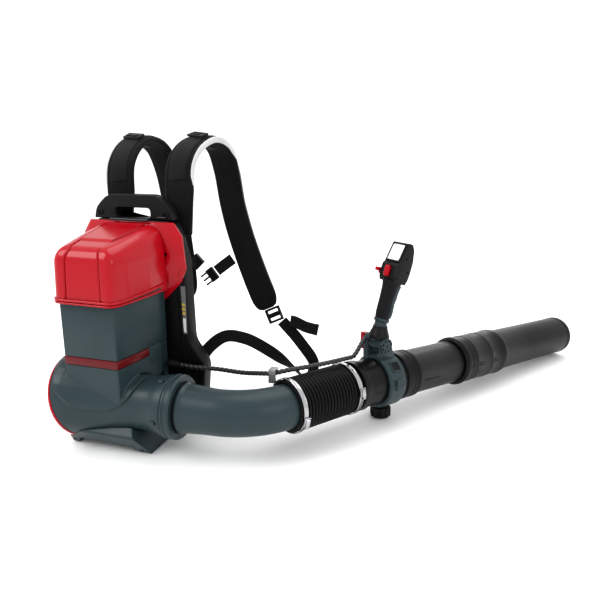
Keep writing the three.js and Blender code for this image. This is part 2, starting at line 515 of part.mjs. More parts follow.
// The webbing turns over on its way: its width direction at points spread evenly along it.
const RIGHT_TURNS = [[-0.76, -0.06, 0.65], [0.03, 0.27, 0.93], [0.37, 0.34, 0.77], [0.73, -0.68, 0.1],
  [0.7, 0.33, 0.35], [0.7, 0.33, 0.35]].map((v) => new THREE.Vector3(...v));
const turning = (turns) => (t) => {
  const at = Math.min(t, 0.999) * (turns.length - 1);
  return turns[Math.floor(at)].clone().lerp(turns[Math.floor(at) + 1], at % 1);
};
piece('right_webbing', band([[108, 22, 116], [116, 30, 138], [149, 50, 166], [184, 70, 159], [226, 100, 126],
  [262, 132, 84], [288, 156, 56], [300, 172, 78], [267, 180, 123], [224, 181, 168]],
WEB.width, WEB.thickness, turning(RIGHT_TURNS), 20), 'fabric');
piece('right_web_tail', band([[246, 174, 172], [256, 171, 172], [282, 167, 164], [310, 165, 160]],
  WEB.width, WEB.thickness, () => new THREE.Vector3(0.3, 0.2, 1), 6), 'fabric');
piece('left_webbing', band([[-108, 22, 110], [-108, 60, 80], [-80, 120, 70], [-44, 165, 110], [-16, 182, 154]],
  WEB.width, WEB.thickness, () => new THREE.Vector3(0.9, 0.4, 0), 10), 'fabric');

// Chest strap in two halves, hanging open: prongs on the right strap, socket on the left.
piece('chest_webbing', band([[108, 189, 296], [92, 186, 284], [72, 182, 268]], WEB.width, WEB.thickness,
  () => new THREE.Vector3(-0.5, 0, 1), 3), 'fabric');
const chest = (x, y, z, tilt) => new THREE.Matrix4().makeTranslation(x, y, z)
  .multiply(new THREE.Matrix4().makeRotationY(tilt * DEG));
piece('chest_prongs', join(block(-9, 9, -4, 4, -15, 15), ...[-11, 0, 11].map((z) => block(-27, -8, -2, 2, z - 2, z + 2)))
  .applyMatrix4(chest(62, 181, 260, -38)), 'black');
piece('chest_socket', cut(block(-14, 12, -5, 5, -14, 14), block(-4, 13, -3, 3, -11.5, 11.5))
  .applyMatrix4(chest(22, 186, 284, 45)), 'black');

export default object;
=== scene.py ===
"""Looks of the backpack leaf blower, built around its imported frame.

Shape functions take millimetres and build meshes in metres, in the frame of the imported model:
+Z up, +Y towards the wearer, +X to the wearer's right.
"""
import json
import math

import bmesh
import bpy
import numpy as np
from mathutils import Matrix, Vector


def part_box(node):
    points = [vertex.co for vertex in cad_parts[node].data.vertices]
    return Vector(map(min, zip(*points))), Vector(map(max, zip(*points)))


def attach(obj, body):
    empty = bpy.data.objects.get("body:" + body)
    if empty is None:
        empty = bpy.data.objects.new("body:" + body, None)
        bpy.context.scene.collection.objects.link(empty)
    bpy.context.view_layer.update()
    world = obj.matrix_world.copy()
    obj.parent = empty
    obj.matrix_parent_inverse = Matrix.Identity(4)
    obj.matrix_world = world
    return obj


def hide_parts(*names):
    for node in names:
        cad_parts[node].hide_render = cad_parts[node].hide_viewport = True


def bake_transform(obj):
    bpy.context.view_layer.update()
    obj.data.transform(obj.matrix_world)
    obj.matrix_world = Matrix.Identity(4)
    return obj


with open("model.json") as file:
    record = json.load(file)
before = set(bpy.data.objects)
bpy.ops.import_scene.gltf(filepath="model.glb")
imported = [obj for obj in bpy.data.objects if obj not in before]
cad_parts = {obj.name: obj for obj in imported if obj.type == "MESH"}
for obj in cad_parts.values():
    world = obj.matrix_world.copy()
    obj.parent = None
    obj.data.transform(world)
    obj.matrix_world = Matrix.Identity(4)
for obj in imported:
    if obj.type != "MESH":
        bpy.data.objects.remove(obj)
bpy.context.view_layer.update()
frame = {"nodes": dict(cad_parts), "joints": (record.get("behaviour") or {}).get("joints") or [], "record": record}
JOINTS = {joint["name"]: joint for joint in frame["joints"]}
MM = 0.001
X, Y, Z = Vector((1, 0, 0)), Vector((0, 1, 0)), Vector((0, 0, 1))


# ---- driving dimensions, millimetres ---------------------------------------------------------
FAN_Y, FAN_Z = -126, 88
TOWER_REAR, TOWER_FRONT, TOWER_HALF_REAR, TOWER_HALF_FRONT = -180, -40, 53, 70
BAND_LOW, BAND_TOP, BAY_TOP = 167, 183, 277
HOOD_LIP, HOOD_FRONT = 279, -41
ELBOW_R, ELBOW_BEND, ELBOW_TURN, ELBOW_X = 41, 140, math.radians(54), 204
ELBOW_MOUTH, ELBOW_TAIL = 139.6, 16
TUBE_R, TUBE_LENGTH, TUBE_JOINT = 46, 718, 142
INTAKE_X, INTAKE_TILT = -74, math.radians(15)
TUBE_START = Vector((404, 60, 86))
HOSE_R, HOSE_BORE, HOSE_RIBS, HOSE_OVERLAP = 49, 42.5, 16, 14
CLAMP_ALONG = 84
PAD_WIDTH, PAD_THICK = 58, 15
WEB_WIDTH, WEB_THICK = 24, 2.2
CABLE_R = 4.5

STRAPS = {
    "right": [(78, 24, 372), (76, 26, 448), (70, 45, 502), (72, 85, 536), (84, 125, 548), (95, 165, 531),
              (97, 195, 485), (103, 210, 410), (122, 206, 346), (154, 196, 270), (192, 184, 192)],
    "left": [(-52, 24, 372), (-52, 26, 444), (-60, 45, 500), (-62, 85, 536), (-56, 125, 548),
             (-49, 165, 531),
             (-45, 195, 483), (-38, 208, 405), (-27, 204, 328), (-17, 198, 262), (-10, 190, 200)],
}
WEBBINGS = {
    "right_webbing": ([(108, 22, 116), (116, 30, 138), (149, 50, 166), (184, 70, 159), (226, 100, 126),
                       (262, 132, 84), (288, 156, 56), (300, 172, 78), (267, 180, 123), (224, 181, 168)],
                      [(-0.76, -0.06, 0.65), (0.03, 0.27, 0.93), (0.37, 0.34, 0.77), (0.73, -0.68, 0.1),
                       (0.7, 0.33, 0.35), (0.7, 0.33, 0.35)]),
    "right_web_tail": ([(246, 174, 172), (256, 171, 172), (282, 167, 164), (310, 165, 160)], (0.3, 0.2, 1)),
    "left_webbing": ([(-108, 22, 110), (-108, 60, 80), (-80, 120, 70), (-44, 165, 110), (-16, 182, 154)],
                     (0.9, 0.4, 0)),
    "chest_webbing": ([(108, 189, 296), (92, 186, 284), (72, 182, 268)], (-0.5, 0, 1)),
}
CABLES = {
    "cable_body": [(102, -50, 136), (125, -46, 133), (170, -32, 129), (222, -34, 129), (262, -46, 137),
                   (285.4, -52.8, 142)],
    "cable_hose": [(289, -52, 142), (312, -38, 146), (345, -10, 147), (378, 26, 147), (408, 66, 146)],
    "cable_handle": [(409, 68, 146), (413, 80, 152), (417, 92, 161), (421, 105, 169),
                     (424.4, 114.5, 174.5)],
}


# ---- places ----------------------------------------------------------------------------------
def axes(x, y, z, origin):
    """A matrix whose columns are the three directions and the origin, in millimetres."""
    return Matrix.Translation(origin) @ Matrix((x, y, z)).transposed().to_4x4()


tube_y = Vector(JOINTS["nozzle_slide"]["axis"]).normalized()
tube_x = Vector(JOINTS["handle_tilt"]["axis"]).normalized()
TUBE = axes(tube_x, tube_y, tube_x.cross(tube_y), TUBE_START)
HANDLE = axes(tube_x, Z.cross(tube_x), Z, Vector(JOINTS["handle_tilt"]["pos_m"]) / MM)
grip_y = Vector(JOINTS["thumb_press"]["axis"]).normalized()
GRIP = axes(tube_x, grip_y, tube_x.cross(grip_y), HANDLE @ Vector((0, 7, 43)))
FAN = Matrix.Translation((0, FAN_Y, FAN_Z)) @ Matrix.Rotation(-math.pi / 2, 4,
                                                              "Z")   # turned +Y lies along +X
INTAKE = Matrix.Translation((INTAKE_X, FAN_Y, FAN_Z)) @ Matrix.Rotation(-INTAKE_TILT, 4, "Y")

elbow_end = Vector((ELBOW_X + ELBOW_BEND * math.sin(ELBOW_TURN),
                    FAN_Y + ELBOW_BEND * (1 - math.cos(ELBOW_TURN)),
                    FAN_Z)) + ELBOW_TAIL * Vector((math.cos(ELBOW_TURN), math.sin(ELBOW_TURN), 0))
hose_y = (TUBE_START - elbow_end).normalized()
hose_x = hose_y.cross(Z).normalized()
HOSE = axes(hose_x, hose_y, hose_x.cross(hose_y), elbow_end)
HOSE_LENGTH = (TUBE_START - elbow_end).length - 4


# ---- materials -------------------------------------------------------------------------------
def material(name, color, roughness, metallic=0.0, coat=0.0, grain=0.0, grain_size=0.4, mottle=0.05,
             rough_spread=0.06, sheen=0.0, weave=None, specular=0.5):
    """A procedural finish: colour drifts a little, roughness is uneven, and a fine grain lifts it.
    grain is the height of the grain and grain_size its width, both in millimetres.
    weave is a thread pitch."""
    made = bpy.data.materials.new(name)
    made.use_nodes = True
    nodes, links = made.node_tree.nodes, made.node_tree.links
    shader = nodes["Principled BSDF"]
    shader.inputs["Metallic"].default_value = metallic
    shader.inputs["Coat Weight"].default_value = coat
    shader.inputs["Coat Roughness"].default_value = 0.08
    shader.inputs["Sheen Weight"].default_value = sheen
    shader.inputs["Sheen Roughness"].default_value = 0.5
    shader.inputs["Specular IOR Level"].default_value = specular
    place = nodes.new("ShaderNodeTexCoord")
    cloud = nodes.new("ShaderNodeTexNoise")
    cloud.inputs["Scale"].default_value = 18
    cloud.inputs["Detail"].default_value = 5
    links.new(place.outputs["Object"], cloud.inputs["Vector"])
    ramp = nodes.new("ShaderNodeValToRGB")
    ramp.color_ramp.elements[0].position = 0.3
    ramp.color_ramp.elements[1].position = 0.7
    for element, shade in zip(ramp.color_ramp.elements, (1 - mottle, 1 + mottle)):
        element.color = [min(1, c * shade) for c in color] + [1]
    links.new(cloud.outputs["Fac"], ramp.inputs["Fac"])
    links.new(ramp.outputs["Color"], shader.inputs["Base Color"])
    uneven = nodes.new("ShaderNodeMapRange")
    uneven.inputs["To Min"].default_value = max(0.02, roughness - rough_spread)
    uneven.inputs["To Max"].default_value = roughness + rough_spread
    smear = nodes.new("ShaderNodeTexNoise")
    smear.inputs["Scale"].default_value = 55
    smear.inputs["Detail"].default_value = 8
    links.new(place.outputs["Object"], smear.inputs["Vector"])
    links.new(smear.outputs["Fac"], uneven.inputs["Value"])
    links.new(uneven.outputs["Result"], shader.inputs["Roughness"])
    bump = nodes.new("ShaderNodeBump")
    bump.inputs["Strength"].default_value = 1.0
    bump.inputs["Distance"].default_value = grain * MM
    if weave:
        heights = []
        for turn in (0, math.pi / 2):
            threads = nodes.new("ShaderNodeTexWave")
            threads.inputs["Scale"].default_value = 1 / (weave * MM) / 6.28
            threads.inputs["Distortion"].default_value = 0.6
            threads.inputs["Detail"].default_value = 1
            spin = nodes.new("ShaderNodeMapping")
            spin.inputs["Rotation"].default_value = (0, 0, turn)
            links.new(place.outputs["UV"], spin.inputs["Vector"])
            links.new(spin.outputs["Vector"], threads.inputs["Vector"])
            heights.append(threads)
        crossing = nodes.new("ShaderNodeMath")
        crossing.operation = "MAXIMUM"
        for socket, threads in zip(crossing.inputs, heights):
            links.new(threads.outputs["Fac"], socket)
        links.new(crossing.outputs["Value"], bump.inputs["Height"])
    else:
        speck = nodes.new("ShaderNodeTexNoise")
        speck.inputs["Scale"].default_value = 1 / (grain_size * MM)
        speck.inputs["Detail"].default_value = 3
        links.new(place.outputs["Object"], speck.inputs["Vector"])
        links.new(speck.outputs["Fac"], bump.inputs["Height"])
    links.new(bump.outputs["Normal"], shader.inputs["Normal"])
    return made


RED = material("red_gloss", (0.36, 0.002, 0.010), 0.2, coat=0.12, specular=0.25, grain=0.004,
               grain_size=3, mottle=0.04, rough_spread=0.03)
GREY = material("grey_satin", (0.023, 0.040, 0.045), 0.36, grain=0.03, grain_size=0.5, mottle=0.06,
                specular=0.3)
DARK_RED = material("dark_red", (0.11, 0.004, 0.006), 0.3, specular=0.3, grain=0.01, grain_size=0.6)
BLACK = material("black_plastic", (0.006, 0.006, 0.007), 0.42, grain=0.05, grain_size=0.5, mottle=0.12,
                 specular=0.2)
TUBE_BLACK = material("tube_black", (0.004, 0.004, 0.005), 0.34, grain=0.02, grain_size=0.6, mottle=0.12,
                      specular=0.2)
RUBBER = material("rubber", (0.004, 0.004, 0.005), 0.5, grain=0.06, grain_size=0.5, mottle=0.12,
                  specular=0.2)
WRAP = material("cable_wrap", (0.014, 0.014, 0.015), 0.38, grain=0.02, grain_size=0.5, mottle=0.2)
FABRIC = material("pad_fabric", (0.008, 0.008, 0.009), 0.9, grain=0.25, mottle=0.2, sheen=0.08, weave=0.9,
                  specular=0.1)
MESH = material("pad_mesh", (0.010, 0.010, 0.011), 0.95, grain=0.5, mottle=0.25, sheen=0.1, weave=2.2,
                specular=0.15)
WEB = material("webbing", (0.009, 0.009, 0.009), 0.8, grain=0.35, mottle=0.2, sheen=0.08, weave=1.2,
               specular=0.12)
SILVER = material("reflective_piping", (0.55, 0.55, 0.56), 0.5, metallic=0.2, grain=0.05, grain_size=0.7,
                  mottle=0.08)
EDGE = material("grey_binding", (0.10, 0.10, 0.105), 0.6, grain=0.05, grain_size=0.5, mottle=0.1)
STEEL = material("steel", (0.42, 0.42, 0.43), 0.26, metallic=1.0, grain=0.004, grain_size=0.4, mottle=0.06)
DARK_STEEL = material("dark_steel", (0.05, 0.05, 0.052), 0.35, metallic=0.9, grain=0.004, grain_size=0.4)
ALLOY = material("alloy", (0.40, 0.41, 0.43), 0.4, metallic=0.9, grain=0.04, grain_size=0.8)
SCREEN = material("screen", (0.78, 0.80, 0.82), 0.12, coat=0.5, mottle=0.02)
LABEL = material("blank_label", (0.16, 0.165, 0.17), 0.4, grain=0.01, grain_size=1)
WHITE = material("white_print", (0.75, 0.75, 0.74), 0.45, grain=0.01, grain_size=1)
YELLOW = material("yellow_print", (0.55, 0.40, 0.06), 0.45, grain=0.01, grain_size=1)


# ---- mesh helpers ----------------------------------------------------------------------------
def piece(name, points, faces, look, smooth=32, uv=None):
    """A mesh object from millimetre points, with its faces turned outwards."""
    mesh = bpy.data.meshes.new(name)
    mesh.from_pydata([Vector(p) * MM for p in points], [], faces)
    if uv:
        layer = mesh.uv_layers.new(name="UVMap")
        for loop in mesh.loops:
            layer.data[loop.index].uv = uv[loop.vertex_index]
    made = bpy.data.objects.new(name, mesh)
    bpy.context.scene.collection.objects.link(made)
    return dress(made, look, smooth)


def dress(made, look, smooth=32):
    """Outward faces, the material, and smooth shading except across edges sharper than smooth degrees."""
    work = bmesh.new()
    work.from_mesh(made.data)
    bmesh.ops.recalc_face_normals(work, faces=work.faces)
    work.to_mesh(made.data)
    work.free()
    made.data.materials.clear()
    made.data.materials.append(look)
    made.data.shade_smooth()
    made.data.set_sharp_from_angle(angle=math.radians(smooth))
    return made


def applied(made):
    """Makes the modifiers' result the piece's own mesh."""
    bpy.context.view_layer.update()
    graph = bpy.context.evaluated_depsgraph_get()
    mesh = bpy.data.meshes.new_from_object(made.evaluated_get(graph))
    made.modifiers.clear()
    made.data = mesh
    return made


def rounded(points, steps=6):
    """An outline with its corners rounded: points are (x, y) or (x, y, radius)."""
    flat = [Vector(p[:2]) for p in points]
    run = []
    for i, point in enumerate(points):
        radius = point[2] if len(point) > 2 else 0
        here, before, after = flat[i], flat[i - 1] - flat[i], flat[(i + 1) % len(flat)] - flat[i]
        reach = min(radius, 0.45 * before.length, 0.45 * after.length)
        if not reach:
            run.append(here)
            continue
        start, stop = here + before.normalized() * reach, here + after.normalized() * reach
        for k in range(steps + 1):
            t = k / steps
            run.append((1 - t) ** 2 * start + 2 * t * (1 - t) * here + t * t * stop)
    return [tuple(p) for p in run]


def mirrored(half):
    return list(half) + [(-p[0], *p[1:]) for p in reversed(half)]


def prism(name, run, low, high, place, look=BLACK):
    """An outline pushed along an axis: place turns (u, v, w) into a point."""
    count = len(run)
    points = [place(u, v, w) for w in (low, high) for u, v in run]
    faces = [(i, (i + 1) % count, count + (i + 1) % count, count + i) for i in range(count)]
    faces += [tuple(range(count)), tuple(range(count, 2 * count))]
    return piece(name, points, faces, look)


def plan(name, run, z0, z1, look=BLACK):
    return prism(name, run, z0, z1, lambda u, v, w: (u, v, w), look)


def rear(name, run, y0, y1, look=BLACK):
    return prism(name, run, y0, y1, lambda u, v, w: (u, w, v), look)


def side(name, run, x0, x1, look=BLACK):
    return prism(name, run, x0, x1, lambda u, v, w: (w, u, v), look)


def block(name, low, high, look=BLACK, place=Matrix()):
    (x0, y0, z0), (x1, y1, z1) = low, high
    made = plan(name, [(x0, y0), (x1, y0), (x1, y1), (x0, y1)], z0, z1, look)
    return moved(made, place)


def moved(made, place):
    """Puts a piece through a millimetre placement."""
    scaled = place.copy()
    scaled.translation *= MM
    made.data.transform(scaled)
    return made


def turned(name, profile, look, place=Matrix(), segments=96, smooth=32):
    """A turned piece about +Y: profile is a closed run of (radius, distance along)."""
    points, faces = [], []
    for r, along in profile:
        for k in range(segments):
            angle = 2 * math.pi * k / segments
            points.append(place @ Vector((r * math.sin(angle), along, r * math.cos(angle))))
    count = len(profile)
    for i in range(count):
        j = (i + 1) % count
        if profile[i][0] == 0 and profile[j][0] == 0:
            continue
        for k in range(segments):
            n = (k + 1) % segments
            faces.append((i * segments + k, i * segments + n, j * segments + n, j * segments + k))
    made = piece(name, points, faces, look, smooth)
    work = bmesh.new()
    work.from_mesh(made.data)
    bmesh.ops.remove_doubles(work, verts=work.verts, dist=1e-6)
    work.to_mesh(made.data)
    work.free()
    return dress(made, look, smooth)


def ring(outer, inner):
    """The closed profile between an outer and an inner run."""
    return list(outer) + list(reversed(inner))


def flowing(run, count=40):
    """A smooth run through profile points."""
    return [(p.x, p.y) for p in curve([(r, a, 0) for r, a in run], count)[0]]


def boolean(made, how, *tools):
    for tool in tools:
        cutter = made.modifiers.new("cut", "BOOLEAN")
        cutter.operation = how
        cutter.solver = "EXACT"
        cutter.object = tool
        applied(made)
        bpy.data.objects.remove(tool)
    return made


def soften(made, width, segments=3, angle=30, look=None, smooth=40):
    """Rounds every edge sharper than angle."""
    flat = made.modifiers.new("flat", "DECIMATE")
    flat.decimate_type = "DISSOLVE"
    flat.angle_limit = math.radians(1.5)
    bevel = made.modifiers.new("round", "BEVEL")
    bevel.width = width * MM
    bevel.segments = segments
    bevel.limit_method = "ANGLE"
    bevel.angle_limit = math.radians(angle)
    bevel.miter_outer = "MITER_ARC"
    applied(made)
    return dress(made, look or made.data.materials[0], smooth)


def melted(made, voxel, passes, look):
    """One smooth moulded skin: the edges and joins run into each other."""
    grid = made.modifiers.new("grid", "REMESH")
    grid.mode = "VOXEL"
    grid.voxel_size = voxel * MM
    calm = made.modifiers.new("calm", "SMOOTH")
    calm.factor = 0.5
    calm.iterations = passes
    applied(made)
    return dress(made, look, 180)


def copy_of(node, name):
    """A copy of a CAD node's mesh with its split corners joined again."""
    mesh = frame["nodes"][node].data.copy()
    made = bpy.data.objects.new(name, mesh)
    bpy.context.scene.collection.objects.link(made)
    work = bmesh.new()
    work.from_mesh(mesh)
    bmesh.ops.remove_doubles(work, verts=work.verts, dist=2e-6)
    work.to_mesh(mesh)
    work.free()
    return made


def joined(name, parts, look=None):
    """Several loose pieces as one object."""
    work = bmesh.new()
    for part in parts:
        work.from_mesh(part.data)
    mesh = bpy.data.meshes.new(name)
    work.to_mesh(mesh)
    work.free()
    look = look or parts[0].data.materials[0]
    for part in parts:
        bpy.data.objects.remove(part)
    made = bpy.data.objects.new(name, mesh)
    bpy.context.scene.collection.objects.link(made)
    return dress(made, look)


def fit(made, body, slot, *nodes):
    """Rides on a body and stands for CAD nodes, which it hides. The slot argument is not used."""
    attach(made, body)
    if nodes:
        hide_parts(*nodes)
    return made


def eased(node, name, body, slot, width, segments, angle, look):
    """A CAD node's own shape with its edges rounded."""
    return fit(soften(copy_of(node, name), width, segments, angle, look), body, slot, node)


# ---- curves and sweeps -----------------------------------------------------------------------
def curve(route, count):
    """Even points along a centripetal spline through the route, with the distance to each."""
    ends = [Vector(p) for p in route]
    ends = [2 * ends[0] - ends[1], *ends, 2 * ends[-1] - ends[-2]]
    dense = []
    for p0, p1, p2, p3 in zip(ends, ends[1:], ends[2:], ends[3:]):
        d0, d1, d2 = ((b - a).length ** 0.5 or 1 for a, b in ((p0, p1), (p1, p2), (p2, p3)))
        m1 = ((p1 - p0) / d0 - (p2 - p0) / (d0 + d1) + (p2 - p1) / d1) * d1
        m2 = ((p2 - p1) / d1 - (p3 - p1) / (d1 + d2) + (p3 - p2) / d2) * d1
        for k in range(24):
            t = k / 24
            dense.append((2 * t**3 - 3 * t**2 + 1) * p1 + (t**3 - 2 * t**2 + t) * m1
                         + (-2 * t**3 + 3 * t**2) * p2 + (t**3 - t**2) * m2)
    dense.append(ends[-2])
    travel = [0]
    for a, b in zip(dense, dense[1:]):
        travel.append(travel[-1] + (b - a).length)
    found, k = [], 0
    for i in range(count + 1):
        goal = travel[-1] * i / count
        while k < len(dense) - 2 and travel[k + 1] < goal:
            k += 1
        share = (goal - travel[k]) / max(1e-9, travel[k + 1] - travel[k])
        found.append(dense[k].lerp(dense[k + 1], min(1, share)))
    return found, [travel[-1] * i / count for i in range(count + 1)]


def frames_along(points, across):
    """(point, forward, across, up) at each point of a line. across is the sideways direction wanted:
    one direction, or several spread evenly along the line."""
    turns = [Vector(across)] * 2 if isinstance(across[0], (int, float)) else [Vector(v) for v in across]
    for i, point in enumerate(points):
        forward = (points[min(i + 1, len(points) - 1)] - points[max(i - 1, 0)]).normalized()
        at = min(i / (len(points) - 1), 0.999) * (len(turns) - 1)
        wanted = turns[int(at)].lerp(turns[int(at) + 1], at % 1)
        wide = (wanted - forward * forward.dot(wanted)).normalized()
        yield point, forward, wide, forward.cross(wide)


def swept(name, points, across, section, look, smooth=40):
    """A closed skin along a line. section(t, s) gives (across, up) points at share t and distance s."""
    rows, uv, travel = [], [], 0.0
    for i, (point, _, wide, up) in enumerate(frames_along(points, across)):
        travel += (point - points[i - 1]).length if i else 0
        loop = section(i / (len(points) - 1), travel)
        row, around = [], 0.0
        for k, (a, b) in enumerate(loop):
            row.append(point + wide * a + up * b)
            around += math.dist(loop[k], loop[k - 1]) if k else 0
            uv.append((around * MM, travel * MM))
        rows.append(row)
    count = len(rows[0])
    faces = []
    for i in range(len(rows) - 1):
        for k in range(count):
            n = (k + 1) % count
            faces.append((i * count + k, i * count + n, (i + 1) * count + n, (i + 1) * count + k))
    last = (len(rows) - 1) * count
    faces += [tuple(range(count)), tuple(last + k for k in range(count))]
    return piece(name, [p for row in rows for p in row], faces, look, smooth, uv)


def oval(a, b, count=32, power=2.0, tilt=0.0):
    """Points round a superellipse."""
    run = []
    for k in range(count):
        t = 2 * math.pi * k / count + tilt
        c, s = math.cos(t), math.sin(t)
        run.append((a * math.copysign(abs(c) ** (2 / power), c),
                    b * math.copysign(abs(s) ** (2 / power), s)))
    return run


def screw(name, place, r=3.2, look=STEEL):
    """A pan-head screw with a cross recess, its head looking along the placement's +Y."""
    head = turned(name, [(0, -2), (r * 0.6, -2), (r * 0.6, 0), (r, 0), (r, 0.8), (r * 0.7, 1.5), (0, 1.7)],
                  look, Matrix(), 24)
    arm = r * 0.62
    for turn in (0, math.pi / 2):
        boolean(head, "DIFFERENCE", block("slot", (-arm, 0.7, -0.5), (arm, 3, 0.5), look,
                                          Matrix.Rotation(turn, 4, "Y")))
    return moved(dress(head, look), place)


def looking(point, direction):
    """A placement whose +Y looks along a direction."""
    turn = Vector(direction).to_track_quat("Y", "Z").to_matrix().to_4x4()
    return Matrix.Translation(point) @ turn


# ---- camera, floor and light -----------------------------------------------------------------
def stage():
    azimuth, elevation = math.radians(18), math.radians(15)
    camera = bpy.data.objects.new("camera", bpy.data.cameras.new("camera"))
    camera.data.lens = 37.2
    camera.data.sensor_width = 36
    camera.location = (0.65854, -1.03031, 0.55922)
    view = Vector((-math.sin(azimuth) * math.cos(elevation), math.cos(azimuth) * math.cos(elevation),
                   -math.sin(elevation)))
    camera.rotation_euler = view.to_track_quat("-Z", "Y").to_euler()
    bpy.context.scene.collection.objects.link(camera)
    bpy.context.scene.camera = camera

    floor = bpy.data.objects.new("floor", bpy.data.meshes.new("floor"))
    floor.data.from_pydata([(-8, -8, 0), (8, -8, 0), (8, 8, 0), (-8, 8, 0)], [], [(0, 1, 2, 3)])
    pale = bpy.data.materials.new("pale_floor")
    pale.use_nodes = True
    pale.node_tree.nodes["Principled BSDF"].inputs["Base Color"].default_value = (0.97, 0.97, 0.97, 1)
    pale.node_tree.nodes["Principled BSDF"].inputs["Roughness"].default_value = 0.65
    floor.data.materials.append(pale)
    floor.location.z = -0.0004
    bpy.context.scene.collection.objects.link(floor)

    world = bpy.data.worlds.new("studio")
    world.use_nodes = True
    world.node_tree.nodes["Background"].inputs["Color"].default_value = (1, 1, 1, 1)
    world.node_tree.nodes["Background"].inputs["Strength"].default_value = 1.0
    bpy.context.scene.world = world
    bpy.context.scene.view_settings.view_transform = "Standard"
    bpy.context.scene.view_settings.look = "Medium High Contrast"

    for name, where, aim, size, power in (
            ("key", (-1.3, -1.3, 1.9), (0.1, 0, 0.2), 1.2, 22),
            ("fill", (2.2, -1.2, 1.3), (0.3, 0, 0.2), 1.0, 7),
            ("top", (0.4, 0.6, 2.4), (0.3, 0.1, 0.1), 1.6, 16),
            ("back", (0.2, 2.4, 1.2), (0.2, 0, 0.3), 1.4, 8)):
        lamp = bpy.data.objects.new(name, bpy.data.lights.new(name, "AREA"))
        lamp.data.size = size
        lamp.data.energy = power
        lamp.location = where
        lamp.rotation_euler = (Vector(aim) - Vector(where)).to_track_quat("-Z", "Y").to_euler()
        bpy.context.scene.collection.objects.link(lamp)


stage()


# ---- control cable: spiral wrap over three stretches ---------------------------------------------
def wrapped_cable(name):
    """A round cable in a spiral wrap: a raised band winds round it."""
    route = CABLES[name]
    length = curve(route, 2)[1][-1]
    count = int(length / 0.8)
    points = curve(route, count)[0]
    pitch, round_points = 9.0, 20

    def section(t, s):
        run = []
        for k in range(round_points):
            angle = 2 * math.pi * k / round_points
            wave = math.cos(angle - 2 * math.pi * s / pitch)
            lift = 0.7 * max(0.0, min(1.0, 2.2 * wave + 1.1))
            run.append(((CABLE_R - 0.7 + lift) * math.cos(angle), (CABLE_R - 0.7 + lift) * math.sin(angle)))
        return run

    made = swept(name + "_wrap", points, Z, section, WRAP, 50)
    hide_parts(name)
    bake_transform(made)
    return made


for cable_name, cable_bodies in (("cable_body", ("body", "elbow")), ("cable_hose", ("elbow", "tube")),
                                 ("cable_handle", ("tube", "handle"))):
    wrapped_cable(cable_name)


# ---- tower -----------------------------------------------------------------------------------
def tower_half(y):
    share = min(1.0, ((y - TOWER_REAR) / 115) ** 0.75)
    return TOWER_HALF_REAR + (TOWER_HALF_FRONT - TOWER_HALF_REAR) * share


def tower_plan(grow=0.0, front=TOWER_FRONT):
    """Plan of the tower: a flat rear face, creased corners, and sides that spread in a curve."""
    steps = 9
    spread = [TOWER_REAR + (front - TOWER_REAR) * (k / steps) ** 1.6 for k in range(1, steps + 1)]
    half = [(TOWER_HALF_REAR + grow, TOWER_REAR - grow, 5)] + [(tower_half(y) + grow, y) for y in spread]
    return rounded(mirrored(half), 4)


def barrel_profile(grow=0.0):
    run = [(70, -96), (76, -84), (78, -76), (77, -62), (72, -40), (64, -10), (57, 22), (52, 55), (50.5, 78),
           (52, 98), (55.5, 114), (57, 128)]
    return [(r + grow, x) for r, x in flowing(run, 60)]


def barrel(name, grow=0.0):
    return turned(name, [(0, -96), *barrel_profile(grow), (0, 128)], GREY, FAN, 128)


def build_tower():
    bay = plan("bay_shell", tower_plan(), BAND_TOP, BAY_TOP, GREY)
    boolean(bay, "UNION", plan("bay_root", tower_plan(-7, -44), BAND_LOW + 1, BAND_TOP, GREY))
    boolean(bay, "DIFFERENCE", plan("bay_room", tower_plan(-5, -46), 190, BAY_TOP + 1, GREY))
    soften(bay, 1.0, 2, 35, GREY)
    fit(bay, "body", "grey_satin", "battery_bay")

    band = plan("band_shell", tower_plan(0.4, -98), BAND_LOW + 0.6, BAND_TOP - 0.9, DARK_RED)
    boolean(band, "DIFFERENCE", plan("band_room", tower_plan(-6, 0), BAND_LOW - 1, BAND_TOP + 1))
    soften(band, 0.8, 2, 35, DARK_RED)
    fit(band, "body", "dark_red", "accent_band")

    cover = copy_of("lower_cover", "cover_shell")
    melted(cover, 0.9, 14, GREY)
    fit(cover, "body", "grey_satin", "lower_cover")
    fit(turned("cover_dot", [(0, -1), (1.3, -1), (1.3, 0.2), (0, 0.2)], BLACK,
               looking((4, TOWER_REAR + 0.9, 158), -Y), 16), "body", "black_plastic")


build_tower()


